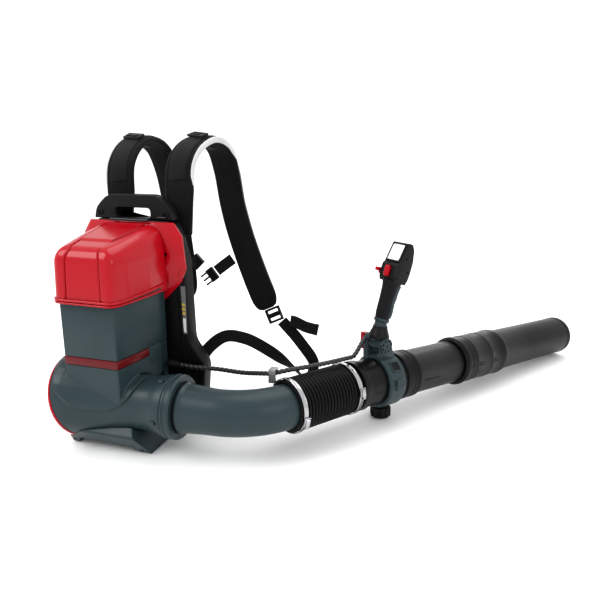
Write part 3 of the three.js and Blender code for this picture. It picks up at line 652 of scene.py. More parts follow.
# ---- fan housing -------------------------------------------------------------------------------
def build_fan():
    housing = barrel("housing_shell")
    boolean(housing, "DIFFERENCE", block("intake_room", (-90, -120, -120), (0, 120, 120), GREY, INTAKE))
    boolean(housing, "UNION", plan("housing_neck", tower_plan(-7, -42), 90, 166.5, GREY))
    melted(housing, 1.5, 9, GREY)
    flank = plan("housing_flank", tower_plan(0, -42), 104, BAND_TOP - 0.6, GREY)
    boolean(flank, "INTERSECT", block("flank_room", (-100, -57.6, 80), (100, -41.5, 200), GREY))
    boolean(flank, "DIFFERENCE", plan("flank_neck", tower_plan(-6.6, -30), BAND_LOW - 1, 200))
    boolean(housing, "UNION", flank)
    bore = [(0, -100), (72, -100), (73, -60), (66, -40), (58, -10), (52.5, 22), (48, 55), (46.6, 78),
            (48, 98),
            (51, 114), (52, 130), (0, 130)]
    boolean(housing, "DIFFERENCE", turned("housing_bore", bore, GREY, FAN, 96))
    dress(housing, GREY, 40)
    fit(housing, "body", "grey_satin", "fan_housing")
    for sign in (-1, 1):
        spot = looking((sign * (tower_half(-50) - 0.3), -50, 172), X * sign)
        fit(turned("flank_hole_%d" % (sign + 1), [(0, -1), (2.4, -1), (2.4, 0.9), (0, 0.9)], BLACK, spot,
                   24),
            "body", "black_plastic")

    collar = turned("collar_ring", ring(
        [(56.6, 128.6), (58.2, 129.6), (58.6, 133), (57, 134.2), (57, 138), (58.4, 139), (58.4, 142.5),
         (56, 146)],
        [(51, 128.6), (51, 137), (46, 139), (46, 146)]), GREY, FAN)
    fit(collar, "body", "grey_satin", "outlet_collar")
    bosses = []
    for turn in (20, 100, 190, 280):
        place = FAN @ Matrix.Rotation(math.radians(turn), 4, "Y") @ Matrix.Translation((0, 118, 56.5))
        bosses.append(turned("boss", [(0, -6), (3.4, -6), (3.6, 0), (3.2, 1.8), (0, 1.8)], GREY, place, 24))
        fit(screw("boss_screw_%d" % turn, place @ Matrix.Translation((0, 1.6, 0)), 2.2, BLACK), "body",
            "black_plastic")
    fit(joined("collar_bosses", bosses, GREY), "body", "grey_satin")

    eased("intake_grille", "grille_disc", "body", "red_gloss", 0.8, 2, 35, RED)
    rim = barrel("grille_rim", 1.0)
    boolean(rim, "INTERSECT", block("rim_slab", (-1.6, -120, -120), (2.6, 120, 120), RED, INTAKE))
    boolean(rim, "DIFFERENCE", turned("rim_room", [(0, -5), (69.6, -5), (69.6, 5), (0, 5)], RED,
                                      INTAKE @ Matrix.Rotation(-math.pi / 2, 4, "Z"), 96))
    soften(rim, 0.5, 2, 35, RED)
    fit(rim, "body", "red_gloss")


build_fan()


# ---- foot --------------------------------------------------------------------------------------
def build_foot():
    foot = copy_of("base_foot", "foot_skid")
    melted(foot, 1.2, 5, GREY)
    fit(foot, "body", "grey_satin", "base_foot")
    for k, where in enumerate(((-67, -157.5, 9), (76, -157.5, 9))):
        fit(screw("foot_screw_%d" % k, looking(where, (0, -0.81, -0.59)), 3.0, BLACK), "body",
            "black_plastic")


build_foot()


# ---- hood --------------------------------------------------------------------------------------
HOOD_CENTRE = Vector((0, -112, 312))
GROOVE = 0.47          # where the two long grooves lie, as a share of the way out from the centre


def hood_depth(p, shrink):
    """Below zero inside the hood. The upright corners are tighter than the shoulder."""
    x, y, z = abs(p[0]), p[1], p[2]
    spread = np.interp(y, [-190, -150, -90, -40], [58, 67, 74, 77])
    sideways = (x - spread + 0.02 * (z - HOOD_LIP) + 0.16 * max(0.0, z - 350)) * 0.95 + shrink
    rearward = -0.9985 * (y + 187) + 0.0547 * (z - 279) + shrink
    upward = 0.9855 * (z - 399) - 0.1696 * (y + 41) + shrink
    return round_max(round_max(sideways, rearward, 12.0), upward, 22.0)


def round_max(a, b, radius):
    """The larger of two distances, rounded where they are alike."""
    if min(a, b) < -radius:
        return max(a, b)
    return math.hypot(a + radius, b + radius) - radius


def hood_point(direction, shrink=0.0):
    ray = Vector(direction)
    near, far = 0.0, 260.0
    for _ in range(26):
        middle = (near + far) / 2
        if hood_depth(HOOD_CENTRE + ray * middle, shrink) < 0:
            near = middle
        else:
            far = middle
    point = HOOD_CENTRE + ray * near
    step = 0.4
    slope = Vector([hood_depth(point + step * e, shrink) - hood_depth(point - step * e,
                                                                      shrink) for e in (X, Y, Z)])
    return point, slope.normalized()


def hood_relief(direction, point):
    """How far the skin stands off the plain hood: the middle panel is sunk between two grooves,
    and the middle of the top is raised in a step."""
    dx, dy, dz = direction
    out = abs(dx) / max(abs(dy), abs(dz))
    if abs(dx) >= max(abs(dy), abs(dz)) * 0.999:
        return 0.0
    groove = -2.2 * math.exp(-((out - GROOVE) / 0.022) ** 2)
    sunk = -1.3 if out < GROOVE else 0.0
    raised = 0.0
    if dz > abs(dy) and point.y > -138:
        rise = min(1.0, (point.y + 138) / 6)
        raised = 3.0 * rise * (1.0 if out < GROOVE - 0.03 else 0.0)
    return groove + sunk + raised


def build_hood():
    wide = np.unique(np.round(np.concatenate([
        np.linspace(-1, 1, 49), [s * (GROOVE + d) for s in (-1, 1) for d in (-.06, -.045, -.034, -.026,
                                                                             -.018, -.009,
                                                                            0, .009, .018, .026, .034,
                                                                             .045)]]), 4))
    deep = np.linspace(-1, 1, 57)
    tall = np.linspace(-0.8, 1, 45)
    points, faces = [], []

    def sheet(us, vs, direction):
        start = len(points)
        for u in us:
            for v in vs:
                ray = Vector(direction(u, v))
                point, normal = hood_point(ray)
                points.append(point + normal * hood_relief(ray, point))
        for i in range(len(us) - 1):
            for k in range(len(vs) - 1):
                a = start + i * len(vs) + k
                faces.append((a, a + 1, a + 1 + len(vs), a + len(vs)))

    sheet(wide, tall, lambda u, v: (u, -1, v))
    sheet(wide, deep, lambda u, v: (u, v, 1))
    sheet(deep, tall, lambda u, v: (1, u, v))
    sheet(deep, tall, lambda u, v: (-1, u, v))
    hood = piece("hood_shell", points, faces, RED)
    work = bmesh.new()
    work.from_mesh(hood.data)
    bmesh.ops.remove_doubles(work, verts=work.verts, dist=2e-5)
    for where, normal in (((0, 0, HOOD_LIP * MM), (0, 0, -1)), ((0, HOOD_FRONT * MM, 0), (0, 1, 0))):
        bmesh.ops.bisect_plane(work, geom=work.verts[:] + work.edges[:] + work.faces[:], plane_co=where,
                               plane_no=normal, clear_outer=True)
    bmesh.ops.recalc_face_normals(work, faces=work.faces)
    work.to_mesh(hood.data)
    work.free()
    wall = hood.modifiers.new("wall", "SOLIDIFY")
    wall.thickness = 2.6 * MM
    wall.offset = -1
    applied(hood)
    dress(hood, RED, 50)
    fit(hood, "hood", "red_gloss", "battery_hood")

    for name, height, rise, proud, r in (("hood_lip_upper", 286.5, 6.0, 1.2, 2.3),
                                         ("hood_lip_lower", 281.3, 0.0, 0.8, 1.9)):
        rim = []
        for ray in lip_rays():
            point, normal = hood_point((ray[0], ray[1], (height - HOOD_CENTRE.z) / 75 * max(abs(ray[0]),
                                                                                            abs(ray[1]))))
            share = max(0.0, min(1.0, (point.y + 165) / 120))
            rim.append(Vector((point.x, point.y, height + rise * share)) + Vector((normal.x, normal.y,
                                                                                   0)) * proud)
        lip = swept(name, rim, Z, lambda t, s, r=r: oval(r, r, 14), RED, 60)
        fit(lip, "hood", "red_gloss")
    for sign in (-1, 1):
        strip = []
        for y in np.linspace(-166, -62, 24):
            point, normal = hood_point((sign, (y - HOOD_CENTRE.y) / 75, (284 - HOOD_CENTRE.z) / 75))
            rise = 6.0 * max(0.0, min(1.0, (point.y + 165) / 120))
            strip.append(Vector((point.x, point.y, 283.4 + rise / 2)) + Vector((normal.x, normal.y,
                                                                                0)) * 0.3)
        skirt = swept("hood_skirt_%d" % (sign + 1), strip, Z,
                      lambda t, s: oval(2.0 + 3.2 * min(1.0, t * 1.1), 0.7, 16), DARK_RED, 60)
        fit(skirt, "hood", "dark_red")


def lip_rays():
    """Directions round the hood's plan from its left front, over the rear, to its right front."""
    left = [(-1, v) for v in np.linspace(0.78, -1, 50)]
    back = [(u, -1) for u in np.linspace(-1, 1, 60)[1:-1]]
    right = [(1, v) for v in np.linspace(-1, 0.78, 50)]
    return left + back + right


build_hood()


def build_surround():
    flange = copy_of("hood_surround", "surround_flange")
    low, high = Vector((100, 300)), Vector((107, 316))
    for sign in (-1, 1):
        for k in range(4):
            spot = low.lerp(high, (k + 0.6) / 4.4)
            edge = (high - low).normalized()
            place = axes(Vector((edge.y, 0, -edge.x)), Y, Vector((edge.x, 0, edge.y)),
                         Vector((spot.x, -33, spot.y)))
            place = Matrix.Scale(sign, 4, X) @ place
            boolean(flange, "DIFFERENCE", block("slot", (-5.5, -8, -1.6), (1.5, 3, 1.6), RED, place))
    soften(flange, 1.1, 3, 35, RED)
    fit(flange, "body", "red_gloss", "hood_surround")
    pin = turned("hinge_rod", [(0, -40), (2.2, -40), (2.5, -39.6), (2.5, 39.6), (2.2, 40), (0, 40)],
                 DARK_STEEL,
                 looking((0, -33, 405.2), X), 24)
    fit(pin, "body", "steel", "hood_hinge_pin")


build_surround()


# ---- back frame and carry handle ---------------------------------------------------------------
def build_frame():
    eased("back_frame", "frame_plate", "body", "black_plastic", 4.0, 4, 35, BLACK)
    ribs = []
    for sign in (-1, 1):
        run = rounded([(sign * 92, 60, 3), (sign * 100, 60, 3), (sign * 92, 330, 3), (sign * 86, 330, 3)],
                      3)
        ribs.append(rear("rib", run, -22.4, -19.6, BLACK))
    ribs = joined("frame_ribs", ribs, BLACK)
    soften(ribs, 0.8, 2, 35, BLACK)
    fit(ribs, "body", "black_plastic")

    eased("carry_handle", "handle_arch", "body", "black_plastic", 3.6, 4, 35, BLACK)
    for k, x in enumerate((-70, 70)):
        fit(turned("arch_cup_%d" % k, ring([(6.2, -1.5), (6.2, 1.2), (5.4, 1.8)],
                                           [(4.2, -1.5), (4.2, 1.8)]), BLACK,
                   looking((x, -19, 416), -Y), 32), "body", "black_plastic")
        fit(screw("arch_screw_%d" % k, looking((x, -18.6, 416), -Y), 3.6, BLACK), "body", "black_plastic")
    fit(turned("arch_pin", [(0, -9), (1.7, -9), (1.9, -8), (1.9, 8), (1.7, 9), (0, 9)], DARK_STEEL,
               looking((62, -20.5, 409.5), X), 20), "body", "steel")


build_frame()


def build_label():
    """A blank strip with plain blocks, on the right of the frame's rear face."""
    def patch(name, x0, x1, z0, z1, look, lift):
        run = rounded([(x0, z0, 1), (x1, z0, 1), (x1, z1, 1), (x0, z1, 1)], 3)
        made = rear(name, run, -20.2 - lift, -19.8, look)
        return fit(made, "body", "black_plastic")

    patch("label_strip", 89, 103, 188, 282, LABEL, 0.1)
    for row in range(3):
        patch("label_yellow_%d" % row, 90.5, 101.5, 226 + 8.5 * row, 231.5 + 8.5 * row, YELLOW, 0.25)
    patch("label_white_low", 90.5, 101.5, 191, 219, WHITE, 0.25)


build_label()


def build_back_pad():
    """Crowned foam pad on the hidden side of the frame, with three sewn channels."""
    low, high = (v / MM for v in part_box("back_pad"))
    points, uv, faces = [], [], []
    columns, rows = 40, 64
    depth = high.y - low.y
    for i in range(rows + 1):
        v = i / rows
        height = low.z + (high.z - low.z) * v
        half = np.interp(height, [low.z, low.z + 12, 240, high.z - 12, high.z], [56, 68, 76, 64, 52])
        for k in range(columns + 1):
            u = 2 * k / columns - 1
            edge = max(0.0, 1 - abs(u) ** 6) ** 0.5 * max(0.0, 1 - abs(2 * v - 1) ** 10) ** 0.5
            channel = sum(math.exp(-((height - at) / 3.0) ** 2) for at in (178, 236, 294))
            lift = depth * (0.25 + 0.73 * edge * (1 - 0.45 * min(1.0, channel)))
            points.append((half * u, low.y + 0.2 + lift * (0.98 if edge else 0.4), height))
            uv.append((half * u * MM, height * MM))
    for i in range(rows):
        for k in range(columns):
            a = i * (columns + 1) + k
            faces.append((a, a + 1, a + columns + 2, a + columns + 1))
    skin = piece("back_cushion", points, faces, MESH, 60, uv)
    wall = skin.modifiers.new("wall", "SOLIDIFY")
    wall.thickness = 3.5 * MM
    wall.offset = -1
    applied(skin)
    dress(skin, MESH, 60)
    fit(skin, "body", "pad_fabric", "back_pad")


build_back_pad()


# ---- elbow, hose and clamps ----------------------------------------------------------------------
def elbow_place(s):
    """Point at a distance along the elbow's centre line."""
    start, bend = ELBOW_MOUTH, ELBOW_BEND * ELBOW_TURN
    straight = ELBOW_X - start
    angle = max(0.0, min(ELBOW_TURN, (s - straight) / ELBOW_BEND))
    base = Vector((min(start + s, ELBOW_X), FAN_Y, FAN_Z))
    base += Vector((ELBOW_BEND * math.sin(angle), ELBOW_BEND * (1 - math.cos(angle)), 0))
    past = max(0.0, s - straight - bend)
    return base + past * Vector((math.cos(ELBOW_TURN), math.sin(ELBOW_TURN), 0))


def build_elbow():
    length = ELBOW_X - ELBOW_MOUTH + ELBOW_BEND * ELBOW_TURN + ELBOW_TAIL
    points = [elbow_place(length * k / 96) for k in range(97)]
    stations = [0, 9, 11, 12.5, 15, 17, 18.5, 40, 66, length]
    radii = [44.5, 44.5, 44.5, 46.4, 46.4, 44.6, 44.0, 42.4, 41, 41]

    def skin(inset):
        return lambda t, s: oval(np.interp(s, stations, radii) - inset,
                                 np.interp(s, stations, radii) - inset, 96)

    duct = swept("elbow_shell", points, Z, skin(0), GREY, 40)
    beyond = [points[0] - X * 2, *points[1:-1], points[-1] + (points[-1] - points[-2]).normalized() * 2]
    boolean(duct, "DIFFERENCE", swept("elbow_bore", beyond, Z, skin(3), GREY))
    dress(duct, GREY, 40)
    fit(duct, "elbow", "grey_satin", "elbow_duct")
    seam = turned("elbow_seal", ring([(44.8, 146.3), (46.6, 146.6), (46.6, 148.4), (45, 148.8)],
                                     [(44.2, 146.3), (44.2, 148.8)]), RUBBER, FAN)
    fit(seam, "elbow", "rubber")


build_elbow()


def build_hose():
    """Bellows: rounded ribs with narrow valleys, a plain cuff under each clamp."""
    cuff = 12.0
    run = [(46.2, -HOSE_OVERLAP), (48.4, -HOSE_OVERLAP + 0.8), (48.4, -HOSE_OVERLAP + cuff + 3)]
    first, last = -HOSE_OVERLAP + cuff + 4, HOSE_LENGTH - cuff - 5
    pitch = (last - first) / HOSE_RIBS
    for i in range(HOSE_RIBS):
        for k in range(10):
            t = k / 10
            crest = abs(math.sin(math.pi * t)) ** 0.7
            run.append((43.8 + (HOSE_R - 43.8) * crest, first + pitch * (i + t)))
    run += [(44.6, last), (48.4, last + 1), (48.4, HOSE_LENGTH - 0.8), (46.2, HOSE_LENGTH)]
    inner = [(HOSE_BORE, -HOSE_OVERLAP)] + [(HOSE_BORE, a) for a in np.linspace(0, HOSE_LENGTH, 24)]
    hose = turned("hose_bellows", ring(run, inner), RUBBER, HOSE, 96, 70)
    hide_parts("bellows_hose")
    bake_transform(hose)


build_hose()


def worm_clamp(name, node, body, along, turn):
    """A steel band with a rolled edge, its screw housing and a slotted hexagon screw."""
    r = HOSE_R + 0.7
    band = turned(name, ring([(r + 0.6, along), (r + 1.3, along + 0.8), (r + 1.0, along + 2),
                              (r + 1.0, along + 7.4),
                              (r + 1.3, along + 8.4), (r + 0.6, along + 9)], [(r, along), (r, along + 9)]),
                  STEEL, HOSE, 96)
    fit(band, body, "steel", node)
    place = HOSE @ Matrix.Rotation(math.radians(turn), 4, "Y")
    housing = block(name + "_housing", (-8.5, along - 0.5, r + 0.9), (8.5, along + 12.5, r + 3.4), STEEL)
    saddle = turned("saddle", [(0, -7), (4.4, -7), (4.4, 7), (0, 7)], STEEL,
                    Matrix.Translation((0, along + 6, r + 4.2)) @ Matrix.Rotation(math.pi / 2, 4, "Z"), 24)
    boolean(housing, "UNION", saddle)
    soften(moved(housing, place), 0.6, 2, 35, STEEL)
    fit(housing, body, "steel")
    bolt = turned("bolt", [(0, 6), (3.9, 6), (3.9, 11.6), (3.2, 12.4), (0, 12.4)], STEEL,
                  Matrix.Translation((0, along + 6, r + 4.2)) @ Matrix.Rotation(-math.pi / 2, 4, "Z"), 6,
                  20)
    boolean(bolt, "DIFFERENCE", block("slot", (10, along + 2, r + 3.7), (14, along + 10, r + 4.7), STEEL))
    fit(dress(moved(bolt, place), STEEL, 20), body, "steel")
    slots = []
    for k in range(26):
        spot = HOSE @ Matrix.Rotation(math.radians(turn + 14 + 3.1 * k), 4, "Y")
        slots.append(block("slot", (-0.7, along + 3, r + 0.8), (0.7, along + 9, r + 1.15), BLACK, spot))
    fit(joined(name + "_slots", slots, BLACK), body, "steel")


worm_clamp("clamp_inner", "hose_clamp_inner", "elbow", -HOSE_OVERLAP + 3, 105)
worm_clamp("clamp_outer", "hose_clamp_outer", "tube", HOSE_LENGTH - 14, 80)


# ---- blow tube -----------------------------------------------------------------------------------
def build_tubes():
    j = TUBE_JOINT
    swivel = ring([(48.6, 0.6), (49.2, 1.2), (49.2, 17), (48.4, 18.6), (46.4, 20), (TUBE_R, 22),
                   (TUBE_R, j - 26),
                   (47.6, j - 25), (49.4, j - 23.6), (49.6, j - 20), (49.6, j - 8), (48.6, j - 7),
                   (48.6, j - 5),
                   (49.6, j - 4), (49.4, j - 0.2)], [(42.5, 0.6), (43, j - 0.2)])
    fit(turned("tube_swivel", swivel, TUBE_BLACK, TUBE, 128), "tube", "black_plastic", "swivel_tube")
    middle = ring([(49.2, j + 0.6), (49.6, j + 1.4), (49.6, j + 5), (48.4, j + 6), (48.4, j + 8),
                   (49.5, j + 9),
                   (49.3, j + 14), (47, j + 17), (TUBE_R, j + 19), (TUBE_R, 290), (44.5, 294), (44.5, 352)],
                  [(42, j + 0.6), (42, 352)])
    fit(turned("tube_middle", middle, TUBE_BLACK, TUBE, 128), "middle", "black_plastic", "middle_tube")
    nozzle = ring([(47.4, 298), (48.6, 298.4), (50.8, 301.4), (52.6, 303), (53, 305), (53, 311),
                   (52.6, 313), (51, 315),
                   (51, 336), (51.6, 336.8), (51.6, 339), (51, 340), (51, 387), (51.6, 387.8),
                   (51.6, 390), (51, 391),
                   (51, 430), (51.9, 433), (52, 443), (51.2, 446), (48.2, 450), (47, 454), (TUBE_R, 560),
                   (45.5, TUBE_LENGTH - 4)], [(45, 298), (45, 365), (43, 375), (42, TUBE_LENGTH - 4)])
    fit(turned("tube_nozzle", nozzle, TUBE_BLACK, TUBE, 128), "nozzle", "black_plastic", "nozzle_tube")
    end = TUBE_LENGTH
    rim = ring([(45, end - 3.7), (46, end - 3), (46.1, end + 5), (45.6, end + 8), (44.6, end + 9)],
               [(42, end - 3.7), (42.4, end + 8), (43.2, end + 9)])
    fit(turned("nozzle_lip", rim, RUBBER, TUBE, 128), "nozzle", "rubber", "nozzle_rim")

    for name, body, r, runs, turns in (
            ("marks_swivel", "tube", TUBE_R, [(28 + 5 * k, 3) for k in range(6)], (96,)),
            ("marks_middle", "middle", TUBE_R, [(170 + 6 * k, 3.4) for k in range(8)], (96,)),
            ("marks_nozzle", "nozzle", 51.0, [(318, 14), (344, 18), (396, 22)], (86, 92))):
        dashes = []
        for turn in turns:
            for along, long in runs:
                place = TUBE @ Matrix.Rotation(math.radians(turn), 4, "Y")
                dashes.append(block("dash", (-1.1, along, r - 1), (1.1, along + long, r + 0.45), BLACK,
                                    place))
        made = joined(name, dashes, BLACK)
        soften(made, 0.25, 2, 35, BLACK)
        fit(made, body, "black_plastic")


build_tubes()


def build_clamp():
    eased("clamp_ring_upper", "ring_upper", "tube", "grey_satin", 1.2, 3, 38, GREY)
    eased("clamp_ring_lower", "ring_lower", "tube", "grey_satin", 1.2, 3, 38, GREY)
    window = TUBE @ Matrix.Rotation(math.radians(45), 4, "Y")
    frame_bar = block("ring_window_frame", (-11, CLAMP_ALONG - 12, 50), (11, CLAMP_ALONG + 12, 55.4), GREY)
    boolean(frame_bar, "DIFFERENCE", block("hole", (-8.5, CLAMP_ALONG - 9.5, 48),
                                           (8.5, CLAMP_ALONG + 9.5, 60)))
    soften(moved(frame_bar, window), 0.7, 2, 35, GREY)
    fit(frame_bar, "tube", "grey_satin")
    fit(block("ring_window", (-8.4, CLAMP_ALONG - 9.4, 50), (8.4, CLAMP_ALONG + 9.4, 54.2), BLACK, window),
        "tube", "black_plastic")
    eased("pivot_hub", "hub_star", "tube", "grey_satin", 0.5, 2, 35, GREY)
    fit(screw("hub_screw", HANDLE @ Matrix.Rotation(-math.pi / 2, 4,
                                                    "Z") @ Matrix.Translation((0, 24.8, 0)), 3.6,
              BLACK), "tube", "black_plastic")
    eased("clamp_knob", "knob_knurled", "lower_knob", "black_plastic", 1.0, 3, 35, BLACK)
    lever = copy_of("pivot_knob", "knob_lever")
    melted(lever, 0.7, 6, RED)
    fit(lever, "side_knob", "red_gloss", "pivot_knob")


build_clamp()


# ---- control handle --------------------------------------------------------------------------------
def lofted(name, rings, look, place, smooth=40):
    """A closed skin through (half width, half depth, middle y, height) ovals."""
    count = 40
    points = []
    for a, b, y, z in rings:
        points += [place @ Vector((u, y + v, z)) for u, v in oval(a, b, count, 2.3)]
    faces = []
    for i in range(len(rings) - 1):
        for k in range(count):
            n = (k + 1) % count
            faces.append((i * count + k, i * count + n, (i + 1) * count + n, (i + 1) * count + k))
    last = (len(rings) - 1) * count
    faces += [tuple(range(count)), tuple(last + k for k in range(count))]
    return piece(name, points, faces, look, smooth)


def build_handle():
    base = copy_of("handle_base", "handle_bell")
    melted(base, 0.7, 4, GREY)
    fit(base, "handle", "grey_satin", "handle_base")
    skirt = turned("handle_skirt", ring([(20.4, 11.5), (20.9, 13), (20.7, 17), (17.4, 25), (15.2, 31),
                                         (14.4, 36)],
                                        [(18, 11.5), (14, 24), (13, 36)]), BLACK,
                   HANDLE @ Matrix.Rotation(math.radians(-9), 4, "X") @ Matrix.Rotation(math.pi / 2, 4,
                                                                                        "X"), 64)
    fit(skirt, "handle", "black_plastic")
    entry = Vector(CABLES["cable_handle"][-1])
    guide = turned("cable_guide", ring([(5.8, -1.5), (6.6, -0.5), (6.8, 2), (7.6, 9)],
                                       [(4.7, -1.5), (4.7, 9)]), GREY,
                   looking(entry, HANDLE @ Vector((0, 3, 19)) - entry), 32)
    fit(guide, "handle", "grey_satin")
    fit(lofted("ferrule", [(13.2, 13.2, 0, 0.4), (14.2, 14.4, 0, 1.4), (14.6, 15.2, 0, 6),
                           (14, 14.6, 0, 7)], GREY, GRIP),
        "handle", "grey_satin", "handle_ferrule")

    rings = []
    for k in range(25):
        z = 7.4 + 72.2 * k / 24
        a = np.interp(z, [7, 20, 45, 70, 80], [13, 14, 13.5, 14.5, 16])
        b = np.interp(z, [7, 20, 45, 70, 80], [14, 16, 15.5, 18, 20])
        rings.append((a, b, np.interp(z, [7, 20, 45, 70, 80], [0, 0, -1, 0, 0]), z))
    grip = lofted("grip_sleeve", rings, RUBBER, GRIP)
    boolean(grip, "DIFFERENCE", block("trigger_slot", (-5, 3, 35), (5, 30, 73), RUBBER, GRIP))
    dress(grip, RUBBER, 40)
    fit(grip, "handle", "rubber", "grip")
    panel_rings = [(a + 0.5, b * 0.62, y + b * 0.42, z) for a, b, y, z in rings[1:-1]]
    panel = lofted("grip_panel", panel_rings, GREY, GRIP)
    boolean(panel, "DIFFERENCE", block("trigger_slot", (-5.4, 2.6, 34), (5.4, 34, 74), GREY, GRIP))
    dress(panel, GREY, 40)
    fit(panel, "handle", "grey_satin")

    collar = lofted("grip_collar", [(14.5, 17.6, 0, 74), (16.2, 20.2, 0, 79), (16.4, 20.4, 0, 84)], BLACK,
                    GRIP)
    fit(collar, "handle", "black_plastic")

    eased("trigger", "trigger_blade", "trigger", "dark_red", 1.2, 3, 35, DARK_RED)

    eased("control_head", "head_shell", "handle", "black_plastic", 2.0, 4, 25, BLACK)
    tilt = GRIP @ Matrix.Translation((0, -10, 139)) @ Matrix.Rotation(math.radians(76.6), 4, "X")
    bezel = plan("screen_bezel", rounded([(-18.5, -20, 5), (18.5, -20, 5), (18.5, 20, 5),
                                          (-18.5, 20, 5)]), -0.6, 2.0, BLACK)
    boolean(bezel, "DIFFERENCE", plan("hole", rounded([(-15, -16.4, 3), (15, -16.4, 3), (15, 16.4, 3),
                                                       (-15, 16.4, 3)]), -4, 4))
    soften(bezel, 0.8, 3, 35, BLACK)
    fit(moved(bezel, tilt), "handle", "black_plastic")
    glass = plan("screen_glass", rounded([(-15.4, -16.8, 3), (15.4, -16.8, 3), (15.4, 16.8, 3),
                                          (-15.4, 16.8, 3)]),
                 -1.5, 1.3, SCREEN)
    fit(moved(soften(glass, 0.4, 2, 35, SCREEN), tilt), "handle", "screen", "display")

    thumb = prism("thumb_pad", rounded([(-6, 89, 6), (6, 89, 6), (6, 111, 6), (-6, 111, 6)], 8), -26, -18.2,
                  lambda u, v, w: GRIP @ Vector((u, w, v)), RED)
    soften(thumb, 2.0, 4, 35, RED)
    fit(thumb, "thumb", "red_gloss", "thumb_button")
    eased("cruise_lever", "cruise_paddle", "cruise", "red_gloss", 1.6, 3, 35, RED)
    eased("mode_button", "mode_cap", "mode", "red_gloss", 1.2, 3, 35, RED)
    for k, (y, z) in enumerate(((-12, 88), (16, 106), (2, 130))):
        fit(screw("head_screw_%d" % k, GRIP @ looking((20, y, z), X), 2.0, BLACK), "handle",
            "black_plastic")


build_handle()


# ---- harness ---------------------------------------------------------------------------------------
def pad_half(t, length):
    """Half width of a shoulder pad: tapered at the frame, rounded at the free end."""
    half = PAD_WIDTH / 2 * min(1.0, 0.72 + 2.2 * t)
    left = (1 - t) * length
    reach = 34
    return half * (0.42 + 0.58 * math.sqrt(max(0.0, 1 - (1 - left / reach) ** 2))) if left < reach else half


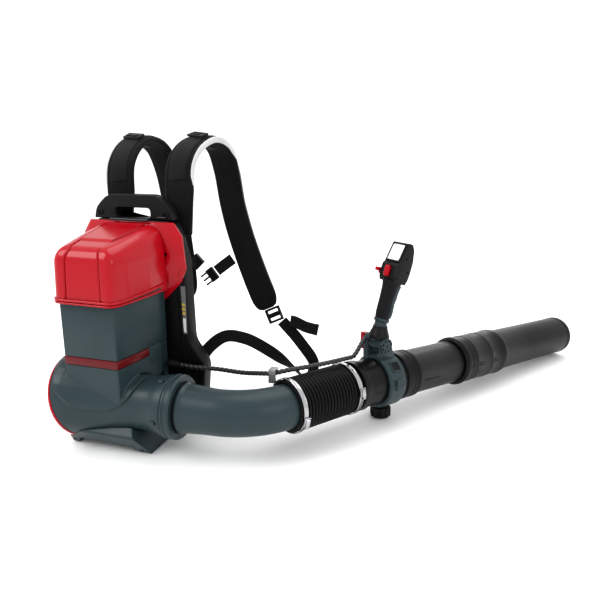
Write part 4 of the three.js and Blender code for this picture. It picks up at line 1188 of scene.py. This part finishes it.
def build_strap(name):
    route = STRAPS[name]
    points, travel = curve(route, 170)
    length = travel[-1]

    def pad_section(t, s):
        half = pad_half(t, length)
        end = min(1.0, s / 8 + 0.5, (length - s) / 8 + 0.45)
        run = []
        for a, b in oval(half, PAD_THICK / 2 * end, 40, 3.4):
            inset = half - abs(a)
            channel = 1.6 * math.exp(-((inset - 9) / 1.6) ** 2)
            run.append((a, b - math.copysign(channel, b) * (abs(b) > 3)))
        return run

    pad = swept(name + "_pad", points, X, pad_section, FABRIC, 50)
    fit(pad, "body", "pad_fabric", name + "_strap_pad")

    def strip(part, t0, t1, look, slot, section, steps=120):
        share = [points[round(170 * (t0 + (t1 - t0) * k / steps))] for k in range(steps + 1)]
        line = [p for i, p in enumerate(share) if i == 0 or (p - share[i - 1]).length > 1e-6]
        line_t = lambda u: t0 + (t1 - t0) * u
        made = swept(name + part, line, X, lambda u, s: section(line_t(u), u), look, 50)
        return fit(made, "body", slot)

    def at_edge(sign, wide, tall):
        def section(t, u):
            half = pad_half(t, length)
            fade = min(1.0, 8 * u + 0.3, 8 * (1 - u) + 0.3)
            return [(sign * (half - 1.2) + a, b) for a, b in oval(wide, tall * fade, 16)]
        return section

    outward = 1 if name == "right" else -1
    strip("_piping", 0.14, 0.47, SILVER, "pad_fabric", at_edge(outward, 2.4, 6.2))
    strip("_edge_out", 0.47, 0.97, EDGE, "pad_fabric", at_edge(outward, 2.0, 3.0))
    strip("_edge_in", 0.03, 0.97, FABRIC, "pad_fabric", at_edge(-outward, 2.0, 3.2))
    strip("_edge_low", 0.03, 0.14, FABRIC, "pad_fabric", at_edge(outward, 2.0, 3.2))

    inner = PAD_THICK / 2
    mesh = lambda t, u: [(a * (pad_half(t, length) - 11), -inner + 0.3 + b) for a, b in oval(1, 1.4, 28, 4)]
    strip("_lining", 0.16, 0.93, MESH, "pad_fabric", mesh)
    web = lambda t, u: [(a, inner + 0.9 + b) for a, b in oval(12, 1.1, 20, 5)]
    strip("_webbing", 0.02, 0.33, WEB, "webbing", web, 60)

    stitches = []
    places = list(frames_along(points, X))
    for i in range(6, 56):
        point, forward, wide, up = places[i]
        for slide in (-10.2, 10.2):
            where = axes(wide, forward, up, point + up * (inner + 2.0) + wide * slide)
            stitches.append(block("stitch", (-0.35, -1.3, -0.3), (0.35, 1.3, 0.35), EDGE, where))
    fit(joined(name + "_stitches", stitches, EDGE), "body", "webbing")

    eased(name + "_slider", name + "_triglide", "body", "black_plastic", 0.9, 3, 35, BLACK)
    eased(name + "_ladder_lock", name + "_ladder", "body", "black_plastic", 0.9, 3, 35, BLACK)

    point, forward, wide, up = places[12]
    where = axes(wide, forward, up, point + up * (inner + 3))
    buckle = block(name + "_adjuster", (-15, -8, -1.4), (15, 8, 2.2), BLACK)
    for low in (-5.6, 1.4):
        boolean(buckle, "DIFFERENCE", block("hole", (-11.5, low, -4), (11.5, low + 4.2, 6)))
    soften(buckle, 0.9, 3, 35, BLACK)
    fit(moved(buckle, where), "body", "black_plastic")

    point, forward, wide, up = places[62]
    stub = swept(name + "_stub", [point + up * (inner + h) + forward * s for s, h in
                                  ((-14, 3), (-6, 4), (2, 5.4), (10, 7.2), (18, 8.6))], wide,
                 lambda t, s: oval(11.5, 1.1, 20, 5), WEB)
    fit(stub, "body", "webbing")


for strap_name in STRAPS:
    build_strap(strap_name)


def build_webbing():
    for name, (route, across) in WEBBINGS.items():
        length = curve(route, 2)[1][-1]
        points = curve(route, max(12, int(length / 4)))[0]
        half, thick = WEB_WIDTH / 2, WEB_THICK / 2
        made = swept(name + "_band", points, across, lambda t, s: oval(half, thick, 24, 6), WEB, 50)
        fit(made, "body", "webbing", name)
    for name in ("chest_prongs", "chest_socket"):
        eased(name, name + "_clip", "body", "black_plastic", 0.9, 3, 35, BLACK)
    end = Vector(WEBBINGS["right_web_tail"][0][-1])
    before = Vector(WEBBINGS["right_web_tail"][0][-2])
    forward = (end - before).normalized()
    hem = swept("tail_hem", [end - forward * 7, end - forward * 0.6], Vector((0.3, 0.2, 1)),
                lambda t, s: oval(WEB_WIDTH / 2 + 0.2, 2.4, 24, 6), WEB)
    fit(hem, "body", "webbing")


build_webbing()


# ---- carried-over nodes ----------------------------------------------------------------------------
LOOKS = {"red_gloss": RED, "grey_satin": GREY, "dark_red": DARK_RED, "black_plastic": BLACK,
         "rubber": RUBBER,
         "cable_wrap": WRAP, "pad_fabric": FABRIC, "webbing": WEB, "steel": STEEL, "alloy": ALLOY,
         "screen": SCREEN}
for part in frame["record"]["subparts"]:
    shown = frame["nodes"][part["node"]]
    shown.data.materials.clear()
    shown.data.materials.append(LOOKS[part["material_slot"]])
